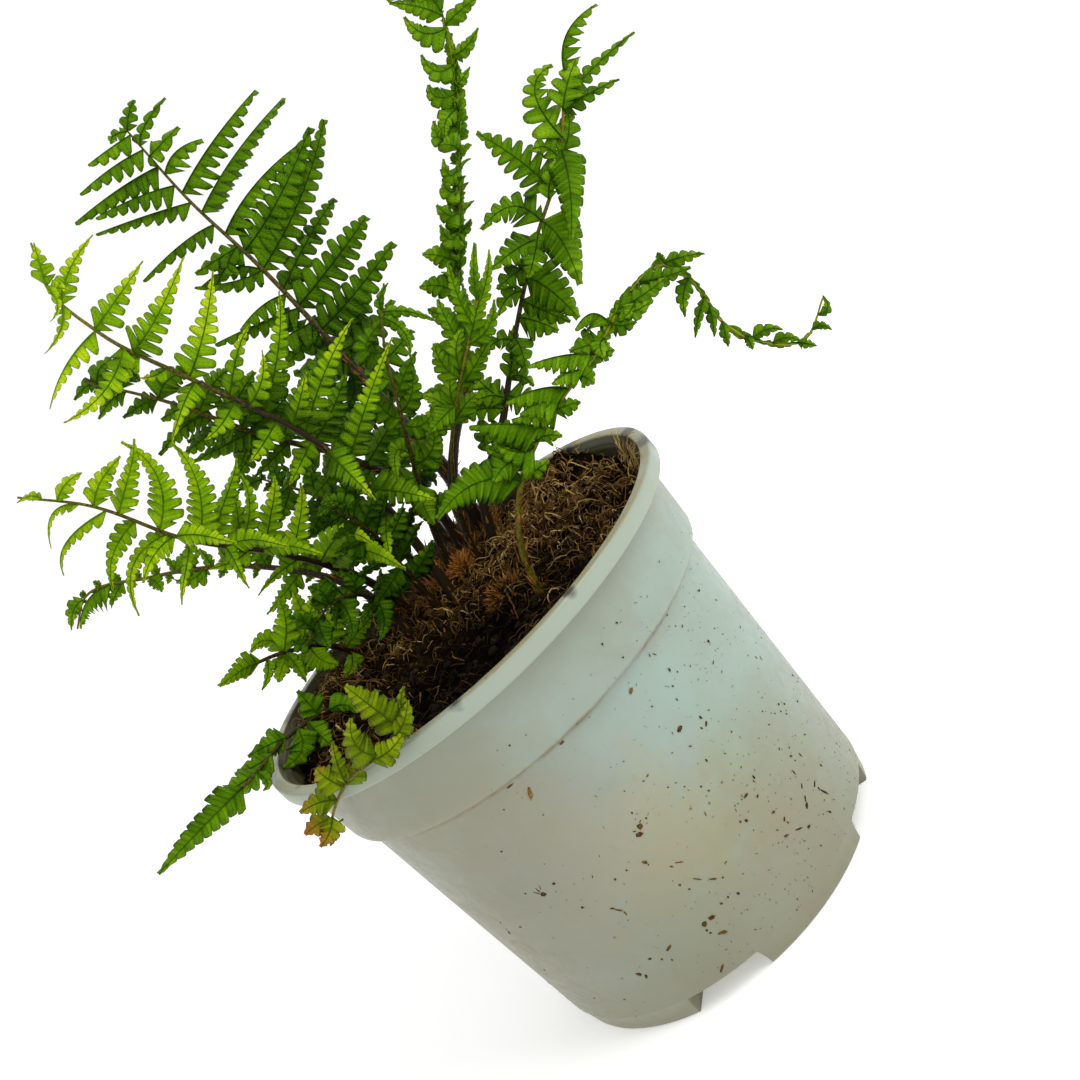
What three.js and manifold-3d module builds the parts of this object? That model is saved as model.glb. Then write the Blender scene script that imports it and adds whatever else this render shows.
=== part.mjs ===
// A wood fern in a round nursery pot, standing upright, in millimetres with +Z up.
// The origin is the middle of the pot's underside. The reader looks at the plant from -Y.

import * as THREE from 'three';
import { mergeVertices } from 'three/addons/utils/BufferGeometryUtils.js';
import { ParametricGeometry } from 'three/addons/geometries/ParametricGeometry.js';
import Module from 'manifold-3d';

const wasm = await Module();
wasm.setup();
const { Manifold } = wasm;

// Driving dimensions of the pot
const RIM_RADIUS = 85;
const POT_HEIGHT = 143;
const LIP_HEIGHT = 6;
const LIP_WIDTH = 4.3;
const COLLAR_HEIGHT = 32;
const COLLAR_TOP_RADIUS = 79.6;
const COLLAR_FOOT_RADIUS = 78.1;
const BODY_TOP_RADIUS = 74.3;
const FOOT_LINE_RADIUS = 68.1;
const FOOT_RADIUS = 66.6;
const WALL = 1.4;
const POT_SEGMENTS = 44;

// The drain pockets let water out between the feet
const POCKETS = 5;
const POCKET_HEIGHT = 8.2;
const POCKET_HALF_ANGLE = THREE.MathUtils.degToRad(12.5);
const POCKET_INNER_RADIUS = 46;
const FIRST_POCKET_ANGLE = THREE.MathUtils.degToRad(-108.5);
const DRAIN_HOLE_RADIUS = 4.5;
const DRAIN_HOLE_PLACE = 57;

// The potting mix fills the pot to just below the rim
const SOIL_LEVEL = 134;
const SOIL_ROUGHNESS = 0.9;
const SOIL_DISH = 0.8;

// Touching pieces keep this gap
const GAP = 0.3;
const SOCKET_MARGIN = 0.45;
const POLYGON_SAG = 0.2;

// Blade and stalk thickness of the leaves
const STALK_TIP = 0.7;
const STALK_SIDES = 5;
const LEAF_THICKNESS = 0.9;
const PINNA_HALF_WIDTH = 4.6;
const LEAFLET_ROOT = 1.4;
const CLEARANCE = 0.5;
const GRIDS = [0.004, 0.01, 0.002];
const LEAF_SMOOTHING = [0.2, 0.12];
const SHORTEST_LEAFLET = 5;
const ROOT_OVERLAP = 0.3;
const CUT_SMOOTHING = [0.06, 0.05, 0.04, 0.03, 0.08];
const TRIALS = [1, 0.82, 0.66, 0.5, 0.36, 0.26];

const RIGHT = 1;
const LEFT = -1;

// Each frond is one leaf. path: its stalk from the soil to the tip. start: where along the
// path the leaflets begin. side: where its right-hand leaflets point. reach: the longest
// leaflet on the right and on the left. lean: the angle of the leaflets from the stalk on the
// right and left, in degrees. sag: how far the leaflets bend, as a share of their length.
// twist: how far the blade turns about its stalk, in degrees.
const FRONDS = [
  {
    name: 'frond_tall_back', colour: 0x3f6b1c, stalk: 1.9, start: 0.42, pairs: 12,
    path: [[23, 66, 126], [31, 68, 157], [33, 74, 192], [34, 84, 231], [34, 93, 265], [32, 100, 297], [33, 104, 332]],
    side: [1, -0.1, 0.15], reach: [48, 38], lean: [78, 66], sag: [0.05, 0.1], twist: 0,
  },
  {
    name: 'frond_bright_left', colour: 0x86a81e, stalk: 1.5, start: 0.36, pairs: 10,
    path: [[0, 34, 126], [5, 32, 165], [4, 26, 208], [-11, 12, 253], [-22, -2, 286], [-23, -10, 305], [-17, -15, 317]],
    side: [0.95, 0, 0.31], reach: [37, 31], lean: [76, 62], sag: [-0.05, 0.4], twist: 0,
  },
  {
    name: 'frond_dark_left', colour: 0x3a5a12, stalk: 1.5, start: 0.34, pairs: 9,
    path: [[13, 60, 126], [19, 57, 161], [9, 49, 193], [-8, 36, 223], [-23, 18, 255], [-36, 4, 277]],
    side: [0.9, 0.1, 0.43], reach: [28, 25], lean: [74, 70], sag: [0.1, 0.25], twist: 0,
  },
  {
    name: 'frond_lower_left', colour: 0x7aa01c, stalk: 1.5, start: 0.34, pairs: 10,
    path: [[-13, 58, 126], [-17, 50, 155], [-30, 30, 187], [-49, 6, 219], [-62, -12, 251], [-73, -20, 266]],
    side: [0.63, 0, 0.78], reach: [32, 27], lean: [76, 60], sag: [0, 0.4], twist: 0,
  },
  {
    name: 'frond_under_left', colour: 0x4c6f1c, stalk: 1.3, start: 0.28, pairs: 7,
    path: [[-21, 52, 126], [-22, 57, 154], [-40, 66, 182], [-74, 72, 209], [-96, 70, 220], [-105, 68, 214]],
    side: [0.5, 0.1, 0.86], reach: [22, 22], lean: [70, 60], sag: [0.1, 0.3], twist: 0,
  },
  {
    name: 'frond_rim_back', colour: 0x6c961c, stalk: 1.1, start: 0.4, pairs: 5,
    path: [[-37, 46, 126], [-40, 42, 146], [-53, 28, 163], [-69, 14, 173], [-76, 8, 176]],
    side: [0.6, -0.3, 0.75], reach: [22, 19], lean: [70, 62], sag: [0, 0.2], twist: 0,
  },
  {
    name: 'frond_over_rim', colour: 0x55782c, stalk: 1.1, start: 0.28, pairs: 6,
    path: [[-44, 18, 126], [-54, 14, 140], [-70, 4, 147.5], [-88, -9, 149.5], [-125, -26, 152]],
    side: [0.2, -0.2, 0.95], reach: [15, 11], lean: [58, 58], sag: [0.1, 0.1], twist: 0,
  },
  {
    name: 'frond_yellow_rim', colour: 0x94a01c, stalk: 1.0, start: 0.3, pairs: 5,
    path: [[-33, -50, 126], [-34, -64, 140], [-38, -77, 147.5], [-47, -79, 147.5], [-56, -72, 146], [-65, -62, 141],
      [-73, -52, 134], [-80, -40, 125]],
    side: [0.2, -0.2, 0.95], reach: [19, 14], lean: [62, 56], sag: [0.1, 0.1], twist: 0,
  },
  {
    name: 'frond_twisted_tall', colour: 0x587a18, stalk: 1.6, start: 0.32, pairs: 10,
    path: [[19, 56, 126], [26, 62, 153], [40, 65, 168], [59, 68, 181], [82, 72, 210], [108, 76, 236], [131, 80, 261],
      [147, 84, 286], [153, 86, 300]],
    side: [0.7, 0, -0.7], reach: [14, 13], lean: [48, 48], sag: [0.2, 0.2], twist: 620,
  },
  {
    name: 'frond_tall_right', colour: 0x4d8418, stalk: 1.5, start: 0.4, pairs: 10,
    path: [[22, 46, 126], [33, 44, 150], [57, 41, 167], [80, 37, 187], [105, 33, 206], [133, 28, 224], [151, 24, 244],
      [172, 20, 254]],
    side: [-0.12, -0.1, 0.99], reach: [33, 21], lean: [56, 52], sag: [0.15, 0.15], twist: 0,
  },
  {
    name: 'frond_curved_right', colour: 0x6a8a18, stalk: 1.4, start: 0.22, pairs: 11,
    path: [[21, -30, 126], [26, -32, 147], [38, -35, 163], [60, -39, 175], [85, -43, 181], [104, -43, 187],
      [119, -40, 186], [123, -38, 175], [123, -35, 158], [130, -33, 142], [143, -30, 133], [155, -30, 139]],
    side: [-0.79, 0, 0.62], reach: [28, 11], lean: [62, 50], sag: [0.1, 0.2], twist: 0,
  },
  {
    name: 'frond_spiky_middle', colour: 0x6f9c20, stalk: 1.3, start: 0.3, pairs: 7,
    path: [[14, 40, 126], [22, 34, 153], [37, 22, 178], [56, 12, 196], [74, 6, 210], [86, 2, 225]],
    side: [0.72, 0, -0.69], reach: [17, 17], lean: [34, 34], sag: [0, 0], twist: 120,
  },
  {
    name: 'frond_curled_middle', colour: 0x4a6f18, stalk: 1.3, start: 0.35, pairs: 7,
    path: [[3, 50, 126], [14, 46, 158], [31, 38, 193], [48, 32, 223], [58, 32, 233]],
    side: [0.72, 0, -0.69], reach: [17, 18], lean: [60, 55], sag: [0.2, 0.2], twist: 60,
  },
  {
    name: 'frond_inner_back', colour: 0x2f5212, stalk: 1.3, start: 0.35, pairs: 7,
    path: [[11, 70, 126], [17, 77, 156], [26, 94, 194], [39, 104, 228]],
    side: [0.95, 0, -0.3], reach: [27, 25], lean: [70, 66], sag: [0.1, 0.2], twist: 0,
  },
  {
    name: 'frond_inner_low', colour: 0x35580f, stalk: 1.2, start: 0.35, pairs: 6,
    path: [[-3, 62, 126], [-1, 64, 156], [-10, 72, 189], [-21, 78, 208]],
    side: [0.9, 0, 0.3], reach: [23, 21], lean: [68, 64], sag: [0.1, 0.2], twist: 0,
  },
  {
    name: 'frond_inner_front', colour: 0x3d6412, stalk: 1.1, start: 0.35, pairs: 6,
    path: [[-6, 38, 126], [-5, 30, 155], [-4, 20, 175], [-8, 6, 194]],
    side: [0.95, 0, 0.1], reach: [21, 19], lean: [66, 62], sag: [0.1, 0.2], twist: 0,
  },
  {
    name: 'frond_low_front', colour: 0x3f6a14, stalk: 1.0, start: 0.35, pairs: 5,
    path: [[-20, 34, 126], [-19, 28, 155], [-28, 12, 168], [-38, 2, 170], [-45, -4, 168]],
    side: [0.4, 0, 0.9], reach: [18, 15], lean: [64, 60], sag: [0.1, 0.2], twist: 0,
  },
];

// The corners of each triangle once equal points are welded, without collapsed triangles.
function weldedCorners(geometry) {
  const welded = mergeVertices(geometry, 1e-4);
  const all = welded.index.array;
  const kept = [];
  for (let i = 0; i < all.length; i += 3) {
    const [a, b, c] = [all[i], all[i + 1], all[i + 2]];
    if (a !== b && b !== c && c !== a) kept.push(a, b, c);
  }
  return { places: welded.getAttribute('position').array, kept };
}

// Turns a three.js geometry into a solid that can be cut and joined.
function solidFrom(geometry) {
  const bare = geometry.clone();
  bare.deleteAttribute('normal');
  bare.deleteAttribute('uv');
  const { places, kept } = weldedCorners(bare);
  const mesh = new wasm.Mesh({
    numProp: 3,
    vertProperties: new Float32Array(places),
    triVerts: new Uint32Array(kept),
  });
  const solid = new Manifold(mesh);
  if (solid.volume() <= 0) throw new Error('a piece is open or inside out');
  return solid;
}

function geometryFrom(solid) {
  const data = solid.getMesh();
  const step = data.numProp;
  const points = new Float32Array(data.numVert * 3);
  for (let i = 0; i < data.numVert; i += 1) {
    points.set(data.vertProperties.subarray(i * step, i * step + 3), i * 3);
  }
  const geometry = new THREE.BufferGeometry();
  geometry.setAttribute('position', new THREE.BufferAttribute(points, 3));
  geometry.setIndex(new THREE.BufferAttribute(new Uint32Array(data.triVerts), 1));
  return geometry;
}

// The same body with its corners on a fine grid, or null where that would open its surface.
function snapped(solid, grid) {
  const geometry = geometryFrom(solid);
  const points = geometry.getAttribute('position').array;
  points.forEach((value, i) => { points[i] = Math.round(value / grid) * grid; });
  const { kept } = weldedCorners(geometry);
  const uses = new Map();
  for (let i = 0; i < kept.length; i += 3) {
    for (const [a, b] of [[kept[i], kept[i + 1]], [kept[i + 1], kept[i + 2]], [kept[i + 2], kept[i]]]) {
      const edge = Math.min(a, b) * points.length + Math.max(a, b);
      uses.set(edge, (uses.get(edge) ?? 0) + 1);
    }
  }
  return [...uses.values()].every((count) => count === 2) ? solidFrom(geometry) : null;
}

function largestBody(solid) {
  return solid.decompose().reduce((best, body) => (body.volume() > best.volume() ? body : best));
}

// Smooths away the slivers left where pieces were joined or cut. Null where none of the
// amounts leaves one closed body.
function cleaned(solid, amounts) {
  for (const amount of amounts) {
    const smooth = largestBody(solid.simplify(amount));
    const results = GRIDS.map((grid) => snapped(smooth, grid));
    const closed = results.find((result) => result !== null && result.decompose().length === 1);
    if (closed) return closed;
  }
  return null;
}

// Turns a finished solid into a named three.js mesh.
function meshFrom(solid, name, colour, roughness) {
  const geometry = geometryFrom(solid);
  geometry.computeVertexNormals();
  const material = new THREE.MeshStandardMaterial({ color: colour, roughness, metalness: 0 });
  const mesh = new THREE.Mesh(geometry, material);
  mesh.name = name;
  return mesh;
}

// A vertical solid of revolution. Its outline is a closed loop of [radius, height] points.
function turned(outline, segments) {
  const points = outline.map(([radius, height]) => new THREE.Vector2(radius, height));
  const lathe = new THREE.LatheGeometry(points, segments);
  lathe.rotateX(Math.PI / 2);
  return solidFrom(lathe);
}

// A block between two radii, two heights and two angles about the pot's axis.
function ringBlock(inner, outer, low, high, middleAngle, halfAngle) {
  const shape = new THREE.Shape();
  shape.absarc(0, 0, outer, middleAngle - halfAngle, middleAngle + halfAngle, false);
  shape.absarc(0, 0, inner, middleAngle + halfAngle, middleAngle - halfAngle, true);
  shape.closePath();
  const block = new THREE.ExtrudeGeometry(shape, { depth: high - low, bevelEnabled: false, curveSegments: 3 });
  block.translate(0, 0, low);
  return solidFrom(block);
}

function pocketAngle(index) {
  return FIRST_POCKET_ANGLE + (index * 2 * Math.PI) / POCKETS;
}

// The outside of the raised floor over one drain pocket, grown by a margin.
function pocketFloor(index, margin) {
  const spread = (WALL + margin) / POCKET_INNER_RADIUS;
  return ringBlock(
    POCKET_INNER_RADIUS - WALL - margin, FOOT_LINE_RADIUS - 0.5, 0.2, POCKET_HEIGHT + WALL + margin,
    pocketAngle(index), POCKET_HALF_ANGLE + spread,
  );
}

function drainHole(index) {
  const hole = new THREE.CylinderGeometry(DRAIN_HOLE_RADIUS, DRAIN_HOLE_RADIUS, 6, 12);
  hole.rotateX(Math.PI / 2);
  const angle = pocketAngle(index);
  hole.translate(Math.cos(angle) * DRAIN_HOLE_PLACE, Math.sin(angle) * DRAIN_HOLE_PLACE, POCKET_HEIGHT + WALL / 2);
  return solidFrom(hole);
}

// The injection-moulded pot: tapered body, straighter collar, flat lip, five feet.
function potSolid() {
  const ledge = POT_HEIGHT - COLLAR_HEIGHT;
  const underLip = POT_HEIGHT - LIP_HEIGHT;
  const lipInside = RIM_RADIUS - LIP_WIDTH;
  const outline = [
    [0, 0], [FOOT_RADIUS - 0.6, 0], [FOOT_RADIUS, 1], [FOOT_LINE_RADIUS, POCKET_HEIGHT],
    [BODY_TOP_RADIUS, ledge - 1.5], [COLLAR_FOOT_RADIUS - 0.8, ledge + 0.6], [COLLAR_FOOT_RADIUS, ledge + 3],
    [COLLAR_TOP_RADIUS, underLip], [RIM_RADIUS - 0.3, underLip], [RIM_RADIUS, underLip + 0.6],
    [RIM_RADIUS, POT_HEIGHT - 0.8], [RIM_RADIUS - 0.8, POT_HEIGHT], [lipInside, POT_HEIGHT],
    [lipInside, POT_HEIGHT - 3], [COLLAR_TOP_RADIUS - WALL, POT_HEIGHT - 3.6],
    [COLLAR_FOOT_RADIUS - WALL, ledge + 2.5], [BODY_TOP_RADIUS - WALL, ledge - 2],
    [FOOT_LINE_RADIUS - WALL, POCKET_HEIGHT], [FOOT_RADIUS - WALL - 0.6, WALL], [0, WALL],
  ];
  let pot = turned(outline, POT_SEGMENTS);
  for (let i = 0; i < POCKETS; i += 1) {
    pot = pot.add(pocketFloor(i, 0));
    const hollow = ringBlock(POCKET_INNER_RADIUS, RIM_RADIUS, -1, POCKET_HEIGHT, pocketAngle(i), POCKET_HALF_ANGLE);
    pot = pot.subtract(hollow).subtract(drainHole(i));
  }
  return cleaned(pot, CUT_SMOOTHING);
}

// Height of the rough top of the mix at a place in the pot.
function soilTop(x, y) {
  const lumps = Math.sin(0.21 * x + 1.3) * Math.cos(0.19 * y - 0.4) + 0.6 * Math.sin(0.43 * x - 0.31 * y + 2.1);
  const edge = Math.min(1, Math.hypot(x, y) / 76) ** 4;
  return SOIL_LEVEL + SOIL_ROUGHNESS * lumps * (1 - 0.5 * edge) + SOIL_DISH * edge;
}

// The mix: the pot's inside less a small gap, with a rough top.
function pottingMixBlank() {
  const ledge = POT_HEIGHT - COLLAR_HEIGHT;
  const wall = WALL + GAP + POLYGON_SAG;
  const foot = FOOT_RADIUS - wall - 0.8;
  const heights = [
    [foot, WALL + GAP], [FOOT_LINE_RADIUS - wall, POCKET_HEIGHT], [BODY_TOP_RADIUS - wall - 0.25, ledge - 1.4],
    [COLLAR_FOOT_RADIUS - wall - 0.4, ledge + 3.4],
  ];
  const topRadius = 77.2;
  const rings = [0, 0.38, 0.72, 1];
  const stacks = heights.length + rings.length;
  const body = new ParametricGeometry((u, v, target) => {
    const angle = u * 2 * Math.PI;
    const row = Math.round(v * stacks);
    let radius = 0;
    let height = WALL + GAP;
    if (row > 0 && row <= heights.length) [radius, height] = heights[row - 1];
    if (row > heights.length) radius = topRadius * rings[rings.length - (row - heights.length)];
    const x = Math.cos(angle) * radius;
    const y = Math.sin(angle) * radius;
    target.set(x, y, row > heights.length ? soilTop(x, y) : height);
  }, 26, stacks);
  let mix = solidFrom(body);
  for (let i = 0; i < POCKETS; i += 1) mix = mix.subtract(pocketFloor(i, GAP + POLYGON_SAG / 2));
  return mix;
}

// A closed surface of round or flat rings along a curve, pinched shut at both ends.
function rings(curve, sides, count, ringPoint) {
  const geometry = new ParametricGeometry((u, v, target) => {
    const step = Math.round(v * (count + 1));
    const closed = step === 0 || step === count + 1;
    const along = THREE.MathUtils.clamp((step - 1) / (count - 1), 0, 1);
    target.copy(ringPoint(along, closed ? null : u * 2 * Math.PI));
  }, sides, count + 1);
  return solidFrom(geometry);
}

// A tapering round stalk along a curve. A margin makes the socket that it stands in.
function stalk(curve, thick, thin, sides, count, margin = 0) {
  return rings(curve, sides, count, (along, angle) => {
    const ahead = curve.getTangentAt(along);
    const middle = curve.getPointAt(along).addScaledVector(ahead, along === 0 ? -margin : 0);
    if (angle === null) return middle;
    const across = new THREE.Vector3(0.31, 0.94, 0.17).cross(ahead).normalize();
    const up = new THREE.Vector3().crossVectors(ahead, across);
    const radius = THREE.MathUtils.lerp(thick, thin, along) + margin;
    return middle.addScaledVector(across, Math.cos(angle) * radius).addScaledVector(up, Math.sin(angle) * radius);
  });
}

// A flat leaflet along a curve, widest before its middle, with its midrib as a low ridge.
function leaflet(curve, halfWidth, face) {
  return rings(curve, 3, 2, (along, angle) => {
    const place = angle === null ? along : 0.24 + 0.46 * along;
    const middle = curve.getPointAt(place);
    if (angle === null) return middle;
    const ahead = curve.getTangentAt(place);
    const across = new THREE.Vector3().crossVectors(ahead, face).normalize();
    const up = new THREE.Vector3().crossVectors(ahead, across);
    const width = halfWidth * (along < 0.5 ? 1 : 0.62);
    const corner = Math.round((angle * 3) / (2 * Math.PI)) % 3;
    return middle.addScaledVector(across, [-width, width, 0][corner])
      .addScaledVector(up, [-LEAF_THICKNESS / 2, -LEAF_THICKNESS / 2, LEAF_THICKNESS][corner]);
  });
}

function stalkCurve(spec) {
  const points = spec.path.map((place) => new THREE.Vector3(...place));
  return new THREE.CatmullRomCurve3(points, false, 'centripetal');
}

// Length of a leaflet as a share of the longest, from the start of the blade to the tip.
function lengthShare(blade) {
  const grown = 0.72 + 0.28 * Math.min(1, blade / 0.3);
  return grown * Math.min(1, (1.04 - blade) / 0.5) ** 0.85;
}

// The curve of one leaflet: it leaves the stalk at its lean angle and bends by its sag.
function leafletCurve(spec, curve, blade, hand) {
  const along = spec.start + (0.985 - spec.start) * blade;
  const which = hand === RIGHT ? 0 : 1;
  const middle = curve.getPointAt(along);
  const ahead = curve.getTangentAt(along);
  const side = new THREE.Vector3(...spec.side);
  side.addScaledVector(ahead, -side.dot(ahead)).normalize();
  side.applyAxisAngle(ahead, THREE.MathUtils.degToRad(spec.twist * blade));
  const lean = THREE.MathUtils.degToRad(spec.lean[which] - 12 * blade);
  const way = ahead.clone().multiplyScalar(Math.cos(lean)).addScaledVector(side, hand * Math.sin(lean));
  const face = new THREE.Vector3().crossVectors(ahead, side);
  const foot = middle.clone().addScaledVector(way, -LEAFLET_ROOT);
  const length = spec.reach[which] * lengthShare(blade);
  const drop = new THREE.Vector3(-0.69, 0, -0.72).multiplyScalar(spec.sag[which] * length);
  const points = [0, 0.35, 0.7, 1].map((t) => foot.clone()
    .addScaledVector(way, length * t).addScaledVector(drop, t * t));
  return { curve: new THREE.CatmullRomCurve3(points), face, length };
}

// Adds one leaflet to a frond, cut shorter until it clears everything else. It is left out
// where there is no room for it.
function addLeaflet(frond, blade, hand, others) {
  const { curve: rib, face, length } = leafletCurve(frond.spec, frond.curve, blade, hand);
  for (const share of TRIALS) {
    if (length * share < SHORTEST_LEAFLET) return;
    const short = new THREE.CatmullRomCurve3([0, 0.35, 0.7, 1].map((t) => rib.getPoint(t * share)));
    const width = Math.min(PINNA_HALF_WIDTH, length * share * 0.26);
    const piece = leaflet(short, width, face);
    const rooted = frond.stalk.intersect(piece).volume() > ROOT_OVERLAP;
    if (rooted && others.every((other) => isClear(piece, other))) {
      const joined = frond.joined.add(piece);
      const body = cleaned(joined, LEAF_SMOOTHING);
      if (body !== null) {
        frond.joined = joined;
        frond.body = body;
        frond.leaflets.push(piece);
        return;
      }
    }
  }
}

function isClear(piece, other) {
  const a = piece.boundingBox();
  const b = other.boundingBox();
  for (let i = 0; i < 3; i += 1) {
    if (a.min[i] > b.max[i] + CLEARANCE || b.min[i] > a.max[i] + CLEARANCE) return true;
  }
  return piece.minGap(other, CLEARANCE) >= CLEARANCE - 0.02;
}

// The rootstock: a low scaly dome, half buried, from which most of the stalks rise.
function rootstock(centre, radii, sides) {
  const dome = new THREE.SphereGeometry(1, sides, 9);
  dome.rotateX(Math.PI / 2);
  dome.scale(...radii);
  dome.translate(...centre);
  return solidFrom(dome);
}

// A young frond still rolled up: a scaly stalk with a coiled head.
function crozierCurve() {
  const points = [[27, 52, 126], [31, 55, 138], [36, 60, 149]];
  const head = [40.2, 61.5, 152.2];
  for (let i = 0; i <= 7; i += 1) {
    const angle = Math.PI * (0.9 - 0.22 * i);
    const radius = 4.6 - 0.28 * i;
    points.push([head[0] + Math.cos(angle) * radius, head[1], head[2] + Math.sin(angle) * radius]);
  }
  return new THREE.CatmullRomCurve3(points.map((place) => new THREE.Vector3(...place)), false, 'centripetal');
}

function buildPlant() {
  const group = new THREE.Group();
  const pot = potSolid();
  const curves = FRONDS.map(stalkCurve);
  const frondStalk = (spec, i, margin) => (
    stalk(curves[i], spec.stalk, STALK_TIP, STALK_SIDES, spec.path.length + 4, margin)
  );
  const stalks = FRONDS.map((spec, i) => frondStalk(spec, i, 0));
  const crozierLine = crozierCurve();
  const crozier = stalk(crozierLine, 2.1, 1.2, STALK_SIDES, 18);
  const sockets = FRONDS.map((spec, i) => frondStalk(spec, i, SOCKET_MARGIN));
  sockets.push(stalk(crozierLine, 2.1, 1.2, STALK_SIDES, 18, SOCKET_MARGIN));

  let crown = rootstock([9, 57, 129], [20, 13, 8], 16);
  let bud = rootstock([15, -5, 131], [7, 6, 5], 12);
  for (const socket of sockets) crown = crown.subtract(socket);
  let mix = pottingMixBlank();
  mix = mix.subtract(rootstock([9, 57, 129], [20 + SOCKET_MARGIN, 13 + SOCKET_MARGIN, 8 + SOCKET_MARGIN], 16));
  mix = mix.subtract(rootstock([15, -5, 131], [7 + SOCKET_MARGIN, 6 + SOCKET_MARGIN, 5 + SOCKET_MARGIN], 12));
  for (const socket of sockets) mix = mix.subtract(socket);
  mix = cleaned(mix, CUT_SMOOTHING);
  crown = cleaned(crown, CUT_SMOOTHING);

  group.add(meshFrom(pot, 'nursery_pot', 0xaab3a6, 0.5));
  group.add(meshFrom(mix, 'potting_mix', 0x3a261a, 0.95));
  group.add(meshFrom(crown, 'rootstock', 0x4a2f18, 0.9));
  group.add(meshFrom(bud, 'side_bud', 0x8a5a2a, 0.9));
  group.add(meshFrom(crozier, 'crozier', 0x6a4522, 0.85));

  const fronds = FRONDS.map((spec, i) => (
    { spec, curve: curves[i], stalk: stalks[i], joined: stalks[i], body: stalks[i], leaflets: [] }
  ));
  const fixed = [pot, mix, crown, bud, crozier];
  const most = Math.max(...FRONDS.map((spec) => spec.pairs));
  for (let k = 0; k < most; k += 1) {
    for (const frond of fronds.filter(({ spec }) => k < spec.pairs)) {
      const rest = fronds.filter((other) => other !== frond);
      const others = [...fixed, ...rest.flatMap((other) => [other.stalk, ...other.leaflets])];
      addLeaflet(frond, (k + 0.25) / frond.spec.pairs, RIGHT, others);
      addLeaflet(frond, (k + 0.6) / frond.spec.pairs, LEFT, others);
    }
  }
  for (const { spec, body } of fronds) group.add(meshFrom(body, spec.name, spec.colour, 0.55));
  return group;
}

const plant = buildPlant();
plant.name = 'potted_wood_fern';

export default plant;
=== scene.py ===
# %% [markdown]
# # A wood fern in a nursery pot
# The real thing is a young wood fern, just lifted from the grower's bench: seventeen feathery
# fronds rise from a scaly, half-buried rootstock in a pot of coir and peat. The CAD frame
# already holds every piece at its real place and size. This script puts the living surface on
# it: lobed leaflets, brown scales, loose fibres and a pot that has stood on wet ground.

import math
from collections import namedtuple

import bpy
import numpy as np
from mathutils import Matrix


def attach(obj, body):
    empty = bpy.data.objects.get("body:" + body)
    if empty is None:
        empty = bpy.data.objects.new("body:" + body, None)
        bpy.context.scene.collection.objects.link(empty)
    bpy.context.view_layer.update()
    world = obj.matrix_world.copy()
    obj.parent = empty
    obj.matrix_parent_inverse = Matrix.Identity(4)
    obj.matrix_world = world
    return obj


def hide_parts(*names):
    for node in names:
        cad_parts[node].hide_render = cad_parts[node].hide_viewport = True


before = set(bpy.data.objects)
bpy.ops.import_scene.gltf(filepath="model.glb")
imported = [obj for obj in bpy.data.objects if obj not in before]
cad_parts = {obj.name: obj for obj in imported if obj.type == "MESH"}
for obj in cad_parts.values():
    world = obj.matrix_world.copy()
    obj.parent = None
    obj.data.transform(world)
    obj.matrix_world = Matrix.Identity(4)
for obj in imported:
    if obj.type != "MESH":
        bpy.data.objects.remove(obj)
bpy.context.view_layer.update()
MM = 0.001

# %% [markdown]
# ## Camera
# The photograph shows the pot leaning, so the camera is rolled by the same angle and the plant
# stays upright. The camera was found by matching the lip, the ledge and the foot: it stands
# half a metre from the lip, a little above it, with a slightly long lens.

# %% The camera
# Lengths are in mm and angles in radians.
RIM_HEIGHT, RIM_RADIUS = 143.0, 85.0
CAMERA_DISTANCE = 536.75
CAMERA_RISE, CAMERA_YAW, CAMERA_PITCH, CAMERA_ROLL = 0.2724, -0.0656, -0.0100, 0.7640
LENS, SENSOR_WIDTH = 52.94, 36.0


def turned(axis, angle, vector):
    """The vector turned about the axis by the angle: its part along the axis stays, the rest
    mixes with its own cross product with the axis by the angle's cosine and sine."""
    along = axis * np.dot(axis, vector)
    return (vector - along) * math.cos(angle) + np.cross(axis, vector) * math.sin(angle) + along


def placed(thing, right, above, back, place):
    """Adds a camera or a light to the scene at a place in mm. Its own axes point to the right,
    above and back, which is how both look and shine ahead."""
    pose = np.eye(4)
    pose[:3, 0], pose[:3, 1], pose[:3, 2], pose[:3, 3] = right, above, back, np.asarray(place) * MM
    thing.matrix_world = Matrix(pose.tolist())
    bpy.context.scene.collection.objects.link(thing)


rise = np.array([0, -math.cos(CAMERA_RISE), math.sin(CAMERA_RISE)])
eye = np.array([0, 0, RIM_HEIGHT]) + CAMERA_DISTANCE * rise
ahead, right = -rise, np.array([1.0, 0, 0])
above = np.cross(right, ahead)
ahead, right = turned(above, CAMERA_YAW, ahead), turned(above, CAMERA_YAW, right)
ahead, above = turned(right, CAMERA_PITCH, ahead), turned(right, CAMERA_PITCH, above)
right, above = turned(ahead, CAMERA_ROLL, right), turned(ahead, CAMERA_ROLL, above)
VIEW_RIGHT, VIEW_UP, VIEWER = right, above, -ahead
camera = bpy.data.objects.new("camera", bpy.data.cameras.new("camera"))
camera.data.lens = LENS
camera.data.clip_end = 20
placed(camera, VIEW_RIGHT, VIEW_UP, VIEWER, eye)
bpy.context.scene.camera = camera
print("camera at", np.round(eye), "mm")

# %% [markdown]
# ## From the plant to the photograph and back
# Where a leaflet or a crumb lies was read off the photograph, so its place is known in pixels.
# With the camera known, a pixel is a line of sight into the scene, and a depth along that line
# makes it a point in mm. The same sum done backwards says where a known point shows.

# %% Lines of sight
PHOTO_MIDDLE = 540.0
LENS_PIXELS = LENS / SENSOR_WIDTH * 2 * PHOTO_MIDDLE


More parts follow.
